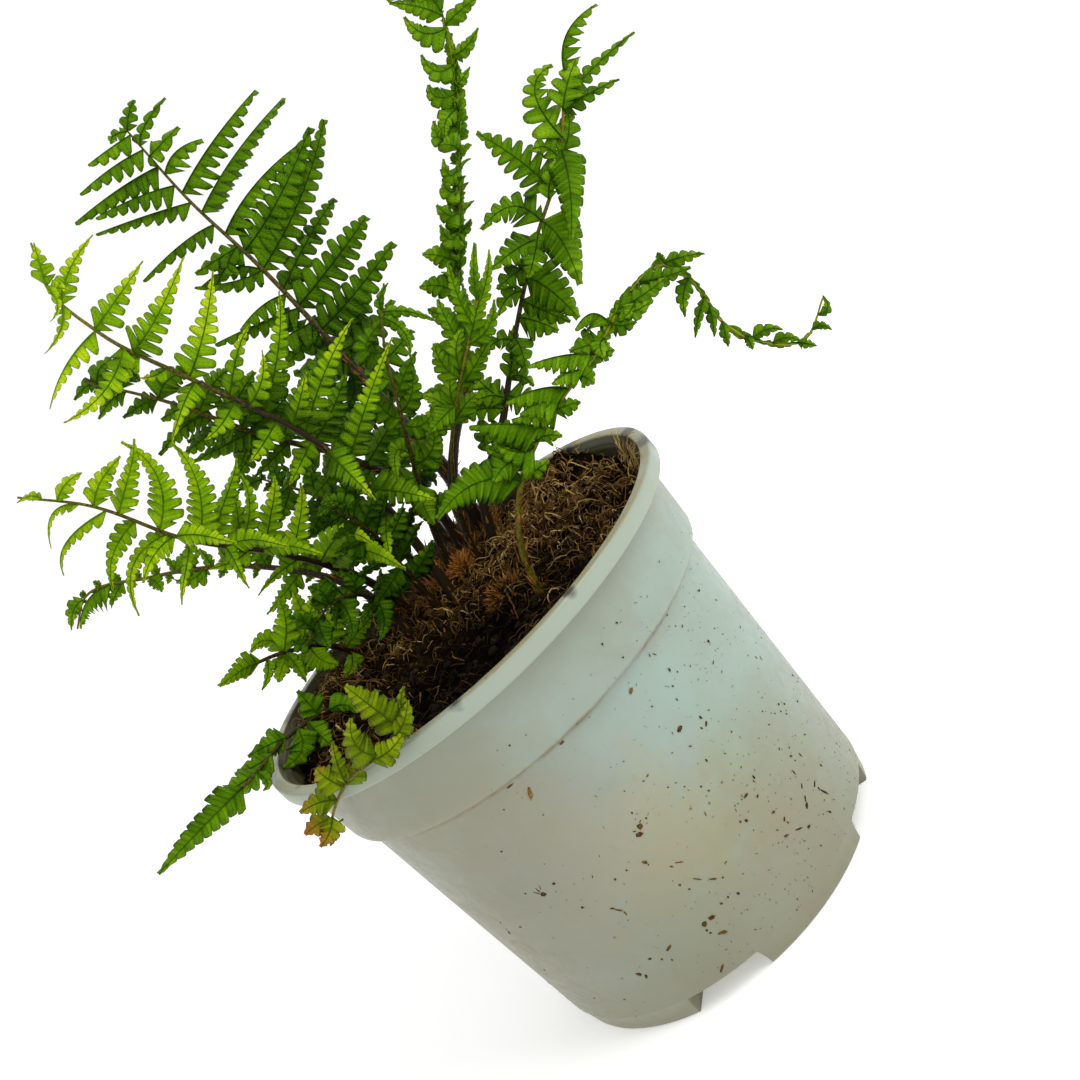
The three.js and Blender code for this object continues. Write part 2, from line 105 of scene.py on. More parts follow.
def seen(points):
    """How deep points lie in front of the camera (mm), and their pixels in the photograph: the
    middle plus the lens in pixels times the offset across or down over the depth."""
    offset = points - eye
    depth = -(offset @ VIEWER)
    pixels = np.stack([offset @ VIEW_RIGHT, -(offset @ VIEW_UP)], axis=-1)
    return depth, PHOTO_MIDDLE + LENS_PIXELS * pixels / depth[..., None]


def behind(pixel_x, pixel_y, depth):
    """The point (mm) that shows at a pixel of the photograph and lies at a depth."""
    across = (pixel_x - PHOTO_MIDDLE) * VIEW_RIGHT - (pixel_y - PHOTO_MIDDLE) * VIEW_UP
    return eye + depth * (across / LENS_PIXELS - VIEWER)


lip_edge = np.array([[RIM_RADIUS, 0.0, RIM_HEIGHT]])
print("the right of the lip shows at pixel", np.round(seen(lip_edge)[1][0]))

# %% [markdown]
# ## Mesh helpers
# Every stalk, leaflet lobe, scale and fibre of the plant is the same idea: a small closed ring
# carried along a path. One helper sews stacks of rings into closed skins for thousands of them
# at once, and another hands the arrays to Blender.


# %% Rings into skins
def loft(rings):
    """Closed skins from rings, an array of K stacks x M rings x S points. Point s of ring m is
    sewn to point s+1 and to the same two points of ring m+1; each end closes on its middle."""
    stacks, count, sides, _ = rings.shape
    poles = np.stack([rings[:, 0].mean(1), rings[:, -1].mean(1)], 1)
    points = np.concatenate([rings.reshape(stacks, -1, 3), poles], 1)
    ring, side = np.meshgrid(np.arange(count - 1), np.arange(sides), indexing="ij")
    here, beside = ring * sides + side, ring * sides + (side + 1) % sides
    quads = np.stack([here, beside, beside + sides, here + sides], -1).reshape(-1, 4)
    side = np.arange(sides)
    after = (side + 1) % sides
    top = (count - 1) * sides
    foot_cap = np.stack([after, side, np.full(sides, count * sides)], -1)
    tip_cap = np.stack([top + side, top + after, np.full(sides, count * sides + 1)], -1)
    offset = np.arange(stacks)[:, None, None] * (count * sides + 2)
    tris = np.concatenate([foot_cap, tip_cap])
    return points.reshape(-1, 3), (quads + offset).reshape(-1, 4), (tris + offset).reshape(-1, 3)


def unit(vectors):
    """Each vector divided by its length."""
    return vectors / np.maximum(np.linalg.norm(vectors, axis=-1, keepdims=True), 1e-9)


def ring_values(values, sides):
    """One value per ring, repeated for the ring's points, and for the two end points."""
    stacks = values.shape[0]
    around = np.repeat(values, sides, axis=1)
    return np.concatenate([around.reshape(stacks, -1), values[:, :1], values[:, -1:]], 1).ravel()


square = np.array([[1.0, 1.0, 0.0], [-1.0, 1.0, 0.0], [-1.0, -1.0, 0.0], [1.0, -1.0, 0.0]])
_, quads, tris = loft(np.stack([square, square + [0.0, 0.0, 2.0]])[None])
print("two square rings close with", len(quads), "sides and", len(tris), "end triangles")


# %% Arrays into Blender
class Skin:
    """Collects skins of one piece: points in mm, faces, finish numbers and named values."""

    def __init__(self):
        self.points, self.quads, self.tris, self.finish, self.values = [], [], [], [], []
        self.count = 0

    def add(self, skin, finish, tone, dry, across, along):
        """Adds (points, quads, tris) with one finish number and four values for each point."""
        points, quads, tris = skin
        self.points.append(points)
        self.quads.append(quads + self.count)
        self.tris.append(tris + self.count)
        self.finish.append((np.full(len(quads), finish), np.full(len(tris), finish)))
        size = len(points)
        self.values.append([np.broadcast_to(v, size) for v in (tone, dry, across, along)])
        self.count += size

    def piece(self, name, materials, nodes=()):
        """Makes the Blender object, which rides on the plant's one body."""
        points = np.concatenate(self.points)
        quads, tris = np.concatenate(self.quads), np.concatenate(self.tris)
        corners = np.concatenate([quads.ravel(), tris.ravel()]).astype(np.int32)
        sizes = np.concatenate([np.full(len(quads), 4), np.full(len(tris), 3)])
        starts = np.concatenate([[0], np.cumsum(sizes)[:-1]]).astype(np.int32)
        mesh = bpy.data.meshes.new(name)
        mesh.vertices.add(len(points))
        mesh.vertices.foreach_set("co", (points * MM).astype(np.float32).ravel())
        mesh.loops.add(len(corners))
        mesh.loops.foreach_set("vertex_index", corners)
        mesh.polygons.add(len(sizes))
        mesh.polygons.foreach_set("loop_start", starts)
        finishes = np.concatenate([f[0] for f in self.finish] + [f[1] for f in self.finish])
        mesh.polygons.foreach_set("material_index", finishes.astype(np.int32))
        mesh.polygons.foreach_set("use_smooth", np.ones(len(sizes), bool))
        mesh.update(calc_edges=True)
        tone, dry, across, along = (np.concatenate(v) for v in zip(*self.values))
        for label, values in (("tone", tone), ("dry", dry)):
            layer = mesh.attributes.new(label, "FLOAT", "POINT")
            layer.data.foreach_set("value", values.astype(np.float32))
        layer = mesh.uv_layers.new(name="UVMap")
        layer.data.foreach_set("uv", np.stack([across, along], -1)[corners].astype(np.float32).ravel())
        for material in materials:
            mesh.materials.append(material)
        obj = bpy.data.objects.new(name, mesh)
        bpy.context.scene.collection.objects.link(obj)
        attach(obj, "root")
        if nodes:
            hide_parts(*nodes)
        print(f"{name}: {len(quads) * 2 + len(tris)} triangles")
        return obj


# %% [markdown]
# ## Curves
# A stalk is known at a few points along its length. The curve between them has to be smooth and
# pass through each one, because the fronds were placed point by point.


# %% Smooth paths
def smooth_path(knots, count):
    """count points along a curve through the knots. Between two knots each coordinate is the
    cubic that leaves and arrives with the slope found from the neighbouring knots."""
    knots = np.asarray(knots, float)
    at = np.concatenate([[0], np.cumsum(np.linalg.norm(np.diff(knots, axis=0), axis=1))])
    slope = np.gradient(knots, at, axis=0)
    s = np.linspace(0, at[-1], count)
    i = np.clip(np.searchsorted(at, s, side="right") - 1, 0, len(knots) - 2)
    span = (at[i + 1] - at[i])[:, None]
    u = (s - at[i])[:, None] / span
    leave, arrive = u * (1 - u) ** 2 * span * slope[i], u * u * (u - 1) * span * slope[i + 1]
    return (1 + 2 * u) * (1 - u) ** 2 * knots[i] + leave + u * u * (3 - 2 * u) * knots[i + 1] + arrive


def sampled(rows, share):
    """Values between the rows of an array, at shares from 0 to 1 of its length."""
    place = np.clip(share, 0, 1) * (len(rows) - 1)
    low = np.minimum(place.astype(int), len(rows) - 2)
    part = (place - low)[..., None]
    return rows[low] * (1 - part) + rows[low + 1] * part


def tube_rings(paths, hint, radii, sides):
    """Round rings along paths (K x M x 3): cosine times the across vector plus sine times the
    up vector, times the radius. The hint vector fixes which way across points."""
    ahead = unit(np.gradient(paths, axis=1))
    across = unit(np.cross(np.broadcast_to(hint, paths.shape), ahead))
    up = np.cross(ahead, across)
    angle = np.arange(sides) * math.tau / sides
    circle = np.cos(angle)[:, None] * across[:, :, None] + np.sin(angle)[:, None] * up[:, :, None]
    return paths[:, :, None] + circle * radii[..., None, None]


arch = smooth_path([[0, 0, 0], [10, 0, 10], [20, 0, 0]], 5)
print("an arch over three points rises like this:", np.round(arch[:, 2], 1))

# %% [markdown]
# ## Finishes
# Leaf green isn't one green: old fronds are bottle green, and the same dark green paints the shade
# on the fronds inside the clump; the newest are lime, and dying tips are orange-brown. Each point
# of a leaf carries a tone from dark to bright and a dryness, and one recipe turns both into colour.
# The rib and the veins are a little darker, the notches between the lobes are darker with painted
# shade, and fine side veins stand up as relief.


# %% Colours on screen
def colour(red, green, blue):
    """A colour given as 0 to 255 on screen, turned into the linear values that light needs."""
    share = np.array([red, green, blue]) / 255
    linear = np.where(share <= 0.04045, share / 12.92, ((share + 0.055) / 1.055) ** 2.4)
    return (*linear, 1.0)


print("leaf green on screen (78, 120, 4) is", np.round(colour(78, 120, 4)[:3], 3), "in light")


# %% A recipe for a finish
class Recipe:
    """A material's node tree with short ways to add nodes and join them."""

    def __init__(self, name):
        self.material = bpy.data.materials.new(name)
        self.material.use_nodes = True
        self.tree = self.material.node_tree
        self.shader = self.tree.nodes["Principled BSDF"]

    def node(self, kind, **settings):
        """A new node of a kind, with its settings."""
        made = self.tree.nodes.new(kind)
        for key, value in settings.items():
            setattr(made, key, value)
        return made

    def join(self, value, socket):
        """Feeds a socket from another node's socket, or gives it a plain number or colour."""
        if isinstance(value, (int, float, tuple)):
            socket.default_value = value
        else:
            self.tree.links.new(value, socket)

    def look(self, name, value):
        """Feeds one of the shader's own sockets."""
        self.join(value, self.shader.inputs[name])

    def named(self, name):
        """A value that the points of the mesh carry."""
        return self.node("ShaderNodeAttribute", attribute_name=name).outputs["Fac"]

    def here(self):
        """Where a point lies on the object."""
        return self.node("ShaderNodeTexCoord").outputs["Object"]

    def split(self, vector):
        """The three numbers of a vector."""
        made = self.node("ShaderNodeSeparateXYZ")
        self.join(vector, made.inputs["Vector"])
        return tuple(made.outputs)

    def distance(self, point):
        """How far a point of the object lies from a point given in mm."""
        made = self.node("ShaderNodeVectorMath", operation="DISTANCE")
        self.join(self.here(), made.inputs[0])
        made.inputs[1].default_value = tuple(number * MM for number in point)
        return made.outputs["Value"]

    def noise(self, scale, detail=4, rough=0.55, warp=0.0):
        """Cloudy numbers round a half, with this many waves in a metre."""
        made = self.node("ShaderNodeTexNoise")
        self.join(self.here(), made.inputs["Vector"])
        for name, value in zip(("Scale", "Detail", "Roughness", "Distortion"), (scale, detail, rough, warp)):
            made.inputs[name].default_value = value
        return made.outputs["Fac"]

    def calc(self, operation, first, second=0.0):
        """One number from two."""
        made = self.node("ShaderNodeMath", operation=operation)
        self.join(first, made.inputs[0])
        self.join(second, made.inputs[1])
        return made.outputs[0]

    def times(self, first, second):
        """The product of two numbers, which is where both are high when they lie from 0 to 1."""
        return self.calc("MULTIPLY", first, second)

    def ramp(self, value, stops):
        """Colours at places from 0 to 1 along a value."""
        ramp = self.node("ShaderNodeValToRGB")
        while len(ramp.color_ramp.elements) < len(stops):
            ramp.color_ramp.elements.new(0.5)
        for element, (place, tint) in zip(ramp.color_ramp.elements, stops):
            element.position, element.color = place, tint
        self.join(value, ramp.inputs["Fac"])
        return ramp.outputs["Color"]

    def between(self, value, low, high, start=0.0, end=1.0):
        """The value's stretch from low to high, laid over start to end and held there."""
        made = self.node("ShaderNodeMapRange")
        for socket, number in zip(list(made.inputs)[1:5], (low, high, start, end)):
            socket.default_value = number
        self.join(value, made.inputs["Value"])
        return made.outputs["Result"]

    def mix(self, value, first, second):
        """The first colour where the value is 0, the second where it is 1."""
        mix = self.node("ShaderNodeMix", data_type="RGBA")
        self.join(value, mix.inputs["Factor"])
        tints = [socket for socket in mix.inputs if socket.type == "RGBA"]
        self.join(first, tints[0])
        self.join(second, tints[1])
        return next(socket for socket in mix.outputs if socket.type == "RGBA")

    def bump(self, height, depth, strength=1.0):
        """Relief: the surface seems raised by the height times the depth in mm."""
        bump = self.node("ShaderNodeBump")
        bump.inputs["Strength"].default_value = strength
        bump.inputs["Distance"].default_value = depth * MM
        self.join(height, bump.inputs["Height"])
        self.look("Normal", bump.outputs["Normal"])

    def done(self, **values):
        """Sets plain values of the shader and gives the material."""
        for name, value in values.items():
            self.look(name.replace("_", " "), value)
        return self.material


print("a recipe knows", ", ".join(name for name in vars(Recipe) if name[0] != "_"))


# %% Leaf, stalk and scale finishes
def leaf_finish(name, shade, body, light):
    """Tone runs from shade through body to light. The UV map says how far across the blade a
    point lies and how many lobes along it. The rib lies at half of across, the vein of a lobe at
    half of the lobe, the left side is half a lobe on, and the fine side veins are a sine of the
    distances from both. Each adds to the tone, and dryness turns the green into brown."""
    recipe = Recipe(name)
    across, along, _ = recipe.split(recipe.node("ShaderNodeUVMap", uv_map="UVMap").outputs["UV"])
    off_rib = recipe.calc("ABSOLUTE", recipe.calc("SUBTRACT", across, 0.5))
    left = recipe.calc("LESS_THAN", across, 0.4999)
    phase = recipe.calc("FRACT", recipe.calc("ADD", along, recipe.times(left, 0.5)))
    off_vein = recipe.calc("ABSOLUTE", recipe.calc("SUBTRACT", phase, 0.5))
    feather = recipe.calc("SUBTRACT", recipe.times(off_rib, 9.0), recipe.times(off_vein, 5.0))
    feather = recipe.calc("SINE", recipe.times(feather, math.tau))
    mottle = recipe.noise(170, 5, 0.6)
    tone = recipe.named("tone")
    for value, *change in (
        (mottle, 0.3, 0.7, -0.12, 0.12),
        # Towards the notch between two lobes the tone falls by up to 0.22: painted shade in the notch.
        (off_vein, 0.22, 0.5, 0.0, -0.22),
        (off_vein, 0.02, 0.06, -0.05, 0.0),
        (feather, -1, 1, -0.03, 0.03),
        (off_rib, 0.0, 0.05, -0.12, 0.0),
    ):
        tone = recipe.calc("ADD", tone, recipe.between(value, *change))
    green = recipe.ramp(tone, [(0.0, shade), (0.5, body), (1.0, light)])
    brown = recipe.ramp(mottle, [(0.3, colour(96, 52, 18)), (0.7, colour(176, 118, 42))])
    dry = recipe.calc("ADD", recipe.named("dry"), recipe.between(mottle, 0.3, 0.7, -0.15, 0.15))
    recipe.look("Base Color", recipe.mix(recipe.between(dry, 0.3, 0.7), green, brown))
    relief = recipe.calc("ADD", recipe.between(off_vein, 0.0, 0.1), recipe.times(feather, 0.25))
    recipe.bump(relief, 0.35, 0.7)
    recipe.look("Roughness", recipe.between(mottle, 0.3, 0.7, 0.4, 0.6))
    return recipe.done(Specular_IOR_Level=0.14, Specular_Tint=(0.8, 1.0, 0.2, 1.0))


# leaf_dark is the bottle green of old fronds and also paints the shade on the fronds inside the clump.
leaf_dark = leaf_finish("leaf_dark", colour(10, 28, 1), colour(44, 80, 2), colour(100, 144, 16))
leaf_mid = leaf_finish("leaf_mid", colour(22, 50, 1), colour(78, 120, 4), colour(140, 178, 26))
leaf_bright = leaf_finish("leaf_bright", colour(44, 76, 1), colour(114, 156, 6), colour(192, 212, 30))
leaf_yellow = leaf_finish("leaf_yellow", colour(52, 74, 4), colour(122, 142, 12), colour(190, 190, 52))


def streaked_finish(name, low, high, scale, rough, depth):
    """Fine streaks between two colours, for stalks and for papery scales."""
    recipe = Recipe(name)
    streak = recipe.noise(scale, 5, 0.65, 0.4)
    tone = recipe.calc("ADD", recipe.named("tone"), recipe.between(streak, 0.3, 0.7, -0.3, 0.3))
    recipe.look("Base Color", recipe.ramp(tone, [(0.0, low), (1.0, high)]))
    recipe.bump(streak, depth, 0.7)
    return recipe.done(Roughness=rough, Specular_IOR_Level=0.2)


stalk_finish = streaked_finish("stalk", colour(36, 25, 5), colour(140, 130, 20), 900, 0.5, 0.15)
scale_finish = streaked_finish("scales", colour(26, 14, 4), colour(196, 132, 50), 1200, 0.6, 0.1)
LEAF, STALK, SCALE = 0, 1, 2
print("green runs from dark to bright:", leaf_dark.name, leaf_mid.name, leaf_bright.name, leaf_yellow.name)

# %% [markdown]
# ## A leaflet
# One frond is a leaf: a midrib with pairs of narrow leaflets, and each leaflet is cut into two
# rows of rounded lobes that stay joined along its rib. Flat copies of one leaflet would look
# printed. So each is worked out where it stands: how long, how deeply cut, how far folded.

# %% The outline of a leaflet
# Eight rings make a lobe. The first two rows say how far along the lobe a ring lies and how much
# of the half width it reaches. The next two say where the ten points of a ring lie across the
# blade, over the top from right to left and back underneath, and how high in thicknesses.
LOBE_STEPS = np.array([0.0, 0.06, 0.15, 0.28, 0.5, 0.65, 0.78, 0.88])
LOBE_REACH = np.array([0.0, 0.6, 0.88, 1.0, 1.0, 0.95, 0.8, 0.52])
BLADE_ACROSS = np.array([1.0, 0.7, 0.36, 0.0, -0.36, -0.7, -1.0, -0.5, 0.0, 0.5])
BLADE_RISE = np.array([0.0, 0.5, 0.45, -0.1, 0.45, 0.5, 0.0, -0.5, -0.8, -0.5])
LEAF_THICKNESS = 0.36
RIB_POINT = 3

Leaflet = namedtuple("Leaflet", "curve facing length where width fold cut screw")
print("a leaflet is given by its", ", ".join(Leaflet._fields))


def blade_rings(leaflet, shade, spec, random):
    """Rings of one leaflet, then the tone, across, along and share of each point. The half width
    is full x (1 - cut x (1 - reach)), where the reach goes from nothing in a notch to one at
    the end of a lobe, and the left side is half a lobe on. The blade turns about its rib: evenly
    by the screw in degrees, or, without a screw, by chance and faster towards the tip. A point
    goes forward by the slant times its distance from the rib, sinks by the fold's sine, and
    ripples with the phase. The shade takes tone away, most at the leaflet's foot."""
    count = max(3, int(round(leaflet.length / spec["lobe_gap"])))
    phase = np.append(np.add.outer(np.arange(count), LOBE_STEPS).ravel(), count)
    share = (phase / count) ** spec["bunching"]
    mid = sampled(leaflet.curve, share)
    ahead = unit(sampled(np.gradient(leaflet.curve, axis=0), share))
    wide = unit(np.cross(leaflet.facing[None], ahead))
    face = np.cross(ahead, wide)
    spin = np.radians(leaflet.screw + random.normal(0, 70 * spec["wild"]))
    spin = spin * share[:, None] ** (1.0 if leaflet.screw else 1.5)
    wide, face = wide * np.cos(spin) + face * np.sin(spin), face * np.cos(spin) - wide * np.sin(spin)
    full = leaflet.width * np.maximum(0.05, 1.0 - share) ** spec["narrowing"]
    full = full * np.clip(0.2 + phase * 2.5, 0, 1)
    cut = leaflet.cut * (1 - 0.45 * share)
    sides = []
    for offset in (0.0, 0.5):
        size = 1 + random.normal(0, 0.07, count + 2)
        reach = np.interp((phase + offset) % 1, np.append(LOBE_STEPS, 1.0), np.append(LOBE_REACH, 0.0))
        sides.append(full * size[(phase + offset).astype(int)] * (1 - cut * (1 - reach)))
    right = BLADE_ACROSS >= 0
    half = np.where(right, sides[0][:, None], sides[1][:, None])
    wave = np.sin(math.tau * (phase[:, None] + np.where(right, 0.0, 0.5)))
    off = np.abs(BLADE_ACROSS) * half
    rise = LEAF_THICKNESS * BLADE_RISE * np.minimum(1, half / 1.2)
    rise = rise - off * math.sin(leaflet.fold) - spec["cup"] * half * BLADE_ACROSS**2
    rise = rise + spec["ripple"] * off * wave
    sideways = np.sign(BLADE_ACROSS) * off * math.cos(leaflet.fold)
    points = mid[:, None] + wide[:, None] * sideways[..., None]
    points = points + face[:, None] * rise[..., None] + ahead[:, None] * (spec["slant"] * off)[..., None]
    lobe_tone = random.normal(0, 0.06, 2 * count + 4)[(2 * phase).astype(int)]
    tone = spec["tone"] + random.normal(0, 0.06) + (spec["tip_tone"] * (share - 0.3) + lobe_tone)[:, None]
    # The lit half is painted lighter by the lit setting, and the underside is painted 0.1 darker, as shade
    # beneath the blade.
    tone = tone + off / 70 + spec["lit"] * np.sign(BLADE_ACROSS) - 0.1 * (BLADE_RISE < -0.2)
    tone = tone - shade * (1 - share[:, None]) ** 0.7
    tone = np.append(tone.ravel(), tone[[0, -1], RIB_POINT])
    across = np.append(np.tile((BLADE_ACROSS + 1) / 2, len(phase)), [0.5, 0.5])
    along = np.append(np.repeat(phase, len(BLADE_ACROSS)), [0.0, phase[-1]])
    return points, tone, across, along, np.append(np.repeat(share, len(BLADE_ACROSS)), [0, 1])


# %% [markdown]
# ## Three ways a leaflet is placed
# Where the photograph shows a leaflet, it is placed as picked there. Inside the clump leaflets
# follow a rule: they stand in pairs, lean less towards the tip, and sag. Where a frond is
# twisted into a rope, blades are wound round its stalk instead.

# %% Leaflets by rule
DOWN_IN_PHOTO = np.array([-0.69, 0.0, -0.72])
RIB_STATIONS = 14
USUAL_REACH = np.array([0.72, 0.92, 1.0, 1.0, 0.96, 0.86, 0.72, 0.52, 0.28, 0.1])
print("the longest leaflet of a frond is number", USUAL_REACH.argmax() + 1, "of ten up its blade")


def regular_leaflets(path, side_ways, spec, hand, random):
    """Leaflets on one side. Each leaves the stalk at its lean, then bends: its direction is the
    lean's direction plus the sag times twice its own share of length, and a curl that grows
    with the cube of that share. A leaflet is as wide as 1.6 mm and 0.17 of its length."""
    which = 0 if hand > 0 else 1
    count = spec["pairs"]
    even = (np.arange(count) + (0.25 if hand > 0 else 0.6)) / count
    blade = 1 - (1 - even) ** spec["crowding"]
    at = spec["start"] + (0.99 - spec["start"]) * blade
    foot = sampled(path, at)
    ahead = unit(sampled(np.gradient(path, axis=0), at))
    side = unit(sampled(side_ways, at))
    facing = np.cross(side, ahead)
    lean = np.radians(spec["lean"][which] - spec["closing"] * blade + random.normal(0, 3.5, count))
    reach = spec["reach"][which] * USUAL_REACH
    length = np.interp(blade, np.linspace(0, 1, len(reach)), reach) * (1 + random.normal(0, 0.05, count))
    way = ahead * np.cos(lean)[:, None] + hand * side * np.sin(lean)[:, None]
    c = np.linspace(0, 1, RIB_STATIONS)[None, :, None]
    sag = spec["sag"][which] * (1 + random.normal(0, 0.25, count))[:, None, None]
    curl = (spec["curl"][which] + random.normal(0, spec["wild"], count))[:, None, None]
    direction = way[:, None] + 2 * sag * c * DOWN_IN_PHOTO + curl * c**3 * facing[:, None]
    direction = unit(direction + spec["forward"] * c**2 * ahead[:, None])
    steps = np.cumsum(direction[:, 1:], 1) * length[:, None, None] / (RIB_STATIONS - 1)
    curve = foot[:, None] + np.concatenate([np.zeros((count, 1, 3)), steps], 1)
    roll = np.radians(random.normal(0, spec["wild"] * 25 + 4, count))
    facing = facing * np.cos(roll)[:, None] + unit(np.cross(way, facing)) * np.sin(roll)[:, None]
    width = np.minimum(spec["lobe"], 1.6 + 0.17 * length)
    fold = np.radians(spec["fold"])
    return [Leaflet(*each, fold, spec["cut"], 0) for each in zip(curve, facing, length, blade, width)]


# %% Leaflets picked on the photograph
# A stalk is looked at in 400 places. A tip within nine pixels of the stalk's own is at its end.
# A leaflet that shows one half is turned by 52 degrees and folded by 36 more than a flat one.
STALK_PLACES = 400
SAME_TIP = 9.0
BULGE = 0.8
HALF_TURN, FLAT_FOLD, HALF_FOLD = 52, 14, 36
print("a leaflet shows one half when it is turned by", HALF_TURN, "degrees")


def picked_leaflets(path, rows, spec, random):
    """Leaflets that were picked one by one on the photograph. The foot is the point of the stalk
    that shows nearest to the picked one, and the middle and the tip lie behind their pixels,
    nearer to the viewer by what the row says. A leaflet that ends where the stalk ends comes
    forward as the stalk does. The curve is (1-c)^2 foot + 2c(1-c) pull + c^2 tip, through the
    middle, and its end may bend aside into a hook."""
    made = []
    c = np.linspace(0, 1, RIB_STATIONS)[:, None]
    stalk = sampled(path, np.linspace(0, 1, STALK_PLACES))
    depths, pixels = seen(stalk)
    for foot_x, foot_y, mid_x, mid_y, tip_x, tip_y, width, shown, forward, *cut in rows:
        nearest = np.linalg.norm(pixels - (foot_x, foot_y), axis=1).argmin()
        foot, depth = stalk[nearest], depths[nearest]
        if np.linalg.norm(pixels[-1] - (tip_x, tip_y)) < SAME_TIP:
            forward = (stalk[-1] - foot) @ VIEWER
        middle = behind(mid_x, mid_y, depth - 0.5 * forward - BULGE) - foot
        tip = behind(tip_x, tip_y, depth - forward) - foot
        curve = foot + spec["lift"] * VIEWER + 2 * c * (1 - c) * (2 * middle - tip / 2) + c**2 * tip
        aside = unit(np.cross(VIEWER, tip) + 0.5 * VIEWER)
        curve = curve + c**6 * spec["hook"] * np.linalg.norm(tip) * aside
        length = np.linalg.norm(np.diff(curve, axis=0), axis=1).sum()
        roll = np.radians(HALF_TURN * shown + random.normal(0, 8))
        facing = VIEWER * math.cos(roll) - unit(np.cross(VIEWER, unit(tip))) * math.sin(roll)
        fold = np.radians(FLAT_FOLD + HALF_FOLD * abs(shown) + random.normal(0, 5))
        where = nearest / (STALK_PLACES - 1)
        depth_of_cut = cut[0] if cut else spec["cut"]
        made.append(Leaflet(curve, facing, length, where, width * spec["broad"], fold, depth_of_cut, 0))
    return made


# %% Blades wound round a stalk
WOUND_FOLD, WOUND_CUT = 0.1, 0.34


def wound_leaflets(path, spec):
    """Blades where a frond is twisted into a rope. Each follows the stalk from one share of it
    to another, two at right angles to each other, and turns by its screw in degrees."""
    made = []
    for first, last, width, screw in spec["wraps"]:
        curve = sampled(path, np.linspace(first, last, RIB_STATIONS))
        length = np.linalg.norm(np.diff(curve, axis=0), axis=1).sum()
        for facing in (VIEWER, VIEW_RIGHT):
            made.append(Leaflet(curve, facing, length, last, width, WOUND_FOLD, WOUND_CUT, screw))
    return made


rope = wound_leaflets(smooth_path([[0, 0, 0], [0, 0, 50], [0, 0, 100]], 20), {"wraps": [(0.2, 0.7, 4, 360)]})
print("half of a straight 100 mm stalk carries", len(rope), "blades of", round(rope[0].length), "mm")

# %% Scales on a stalk
SCALE_CORNERS = np.array([[1, 0], [0, 0.28], [-1, 0], [0, -0.28]])
SCALE_STEPS = np.array([0.0, 0.3, 0.65, 1.0])
SCALE_WIDTHS = np.array([0.7, 1.0, 0.6, 0.08])
SCALE_POINTS = len(SCALE_STEPS) * len(SCALE_CORNERS) + 2
print("a scale has", SCALE_POINTS, "points")


def scale_rings(foot, ahead, across, length, width):
    """Narrow pointed scales: four-sided rings whose width rises and falls as a leaf's does and
    that bend away from the stalk by the square of the share of their length."""
    up = np.cross(ahead, across)
    middle = foot[:, None] + ahead[:, None] * (length[:, None] * SCALE_STEPS)[..., None]
    middle = middle + up[:, None] * (0.22 * length[:, None] * SCALE_STEPS**2)[..., None]
    half = (width[:, None] / 2 * SCALE_WIDTHS)[..., None]
    sideways = across[:, None, None] * (half * SCALE_CORNERS[:, 0])[..., None]
    return middle[:, :, None] + sideways + up[:, None, None] * (half * SCALE_CORNERS[:, 1])[..., None]


def scatter_scales(skin, path, radius, count, until, size, random, finish=SCALE, tone=0.4):
    """Scales all round a stalk, densest at its foot: each stands at the share of the path that is
    a random number to the power 1.5, and leans outwards and up."""
    share = until * random.random(count) ** 1.5
    middle = sampled(path, share)
    ahead = unit(sampled(np.gradient(path, axis=0), share))
    across = unit(np.cross(ahead, random.normal(size=(count, 3))))
    out = np.cross(across, ahead)
    lean = np.radians(random.uniform(12, 62, count))[:, None]
    way = ahead * np.cos(lean) + out * np.sin(lean)
    foot = middle + out * (sampled(radius[:, None], share) * 0.75)
    length = size * random.uniform(0.5, 1.25, count) * (1 - 0.35 * share / until)
    rings = scale_rings(foot, way, across, length, length * random.uniform(0.1, 0.2, count) + 0.25)
    shade = np.repeat(np.clip(tone + random.normal(0, 0.22, count), 0, 1), SCALE_POINTS)
    skin.add(loft(rings), finish, shade, 0.0, 0.5, 0.5)


# %% What a frond's settings mean
# Lengths are in mm, angles in degrees and the rest are shares. Pairs of values are for the two
# sides of the stalk.
DEFAULTS = dict(
    # The stalk: how much it swells at its foot, its tone there and how fast it pales from where,
    # and its scales.
    swell=0.4, stalk_foot=-0.2, stalk_tone=0.45, pale_from=0.125, scales=60, scale_size=5.0,
    # Every blade: its tone, at the tip and on the lit half too, how shaded the inner leaflets
    # are, and how dry the frond is, at its tip too.
    leaf=leaf_mid, slot="leaf_mid", tone=0.5, tip_tone=0.25, lit=0.05, inside=0.0, dry=0.0, dry_tip=0.0,
    # The shape of every blade: length of a lobe and how lobes shorten to the tip, depth of the
    # notches, how far lobes point forward, cupped and rippled blades, how it narrows, and chance.
    lobe_gap=3.6, bunching=0.8, cut=0.8, slant=0.38, cup=0.15, ripple=0.12, narrowing=0.7, wild=0.12,
    # Picked leaflets: their width against the picked one, the hook at the tip, how far they stand
    # before the stalk. Wound blades: first and last share, half width and screw of each.
    broad=1.0, hook=0.0, lift=0.3, wraps=(),
    # Leaflets by rule: pairs, the longest, crowding to the tip, lean and how it closes, sag, curl,
    # sweep forward, fold, greatest half width, and how the whole blade twists.
    pairs=0, reach=(20, 20), crowding=1.4, closing=18, sag=(0.05, 0.1), curl=(0.0, 0.0), forward=0.25,
    fold=22, lobe=6.4, twist=0,
)
print(len(DEFAULTS), "settings have a usual value")


# %% One whole frond
STALK_SIDES, RIB_SIDES = 8, 5


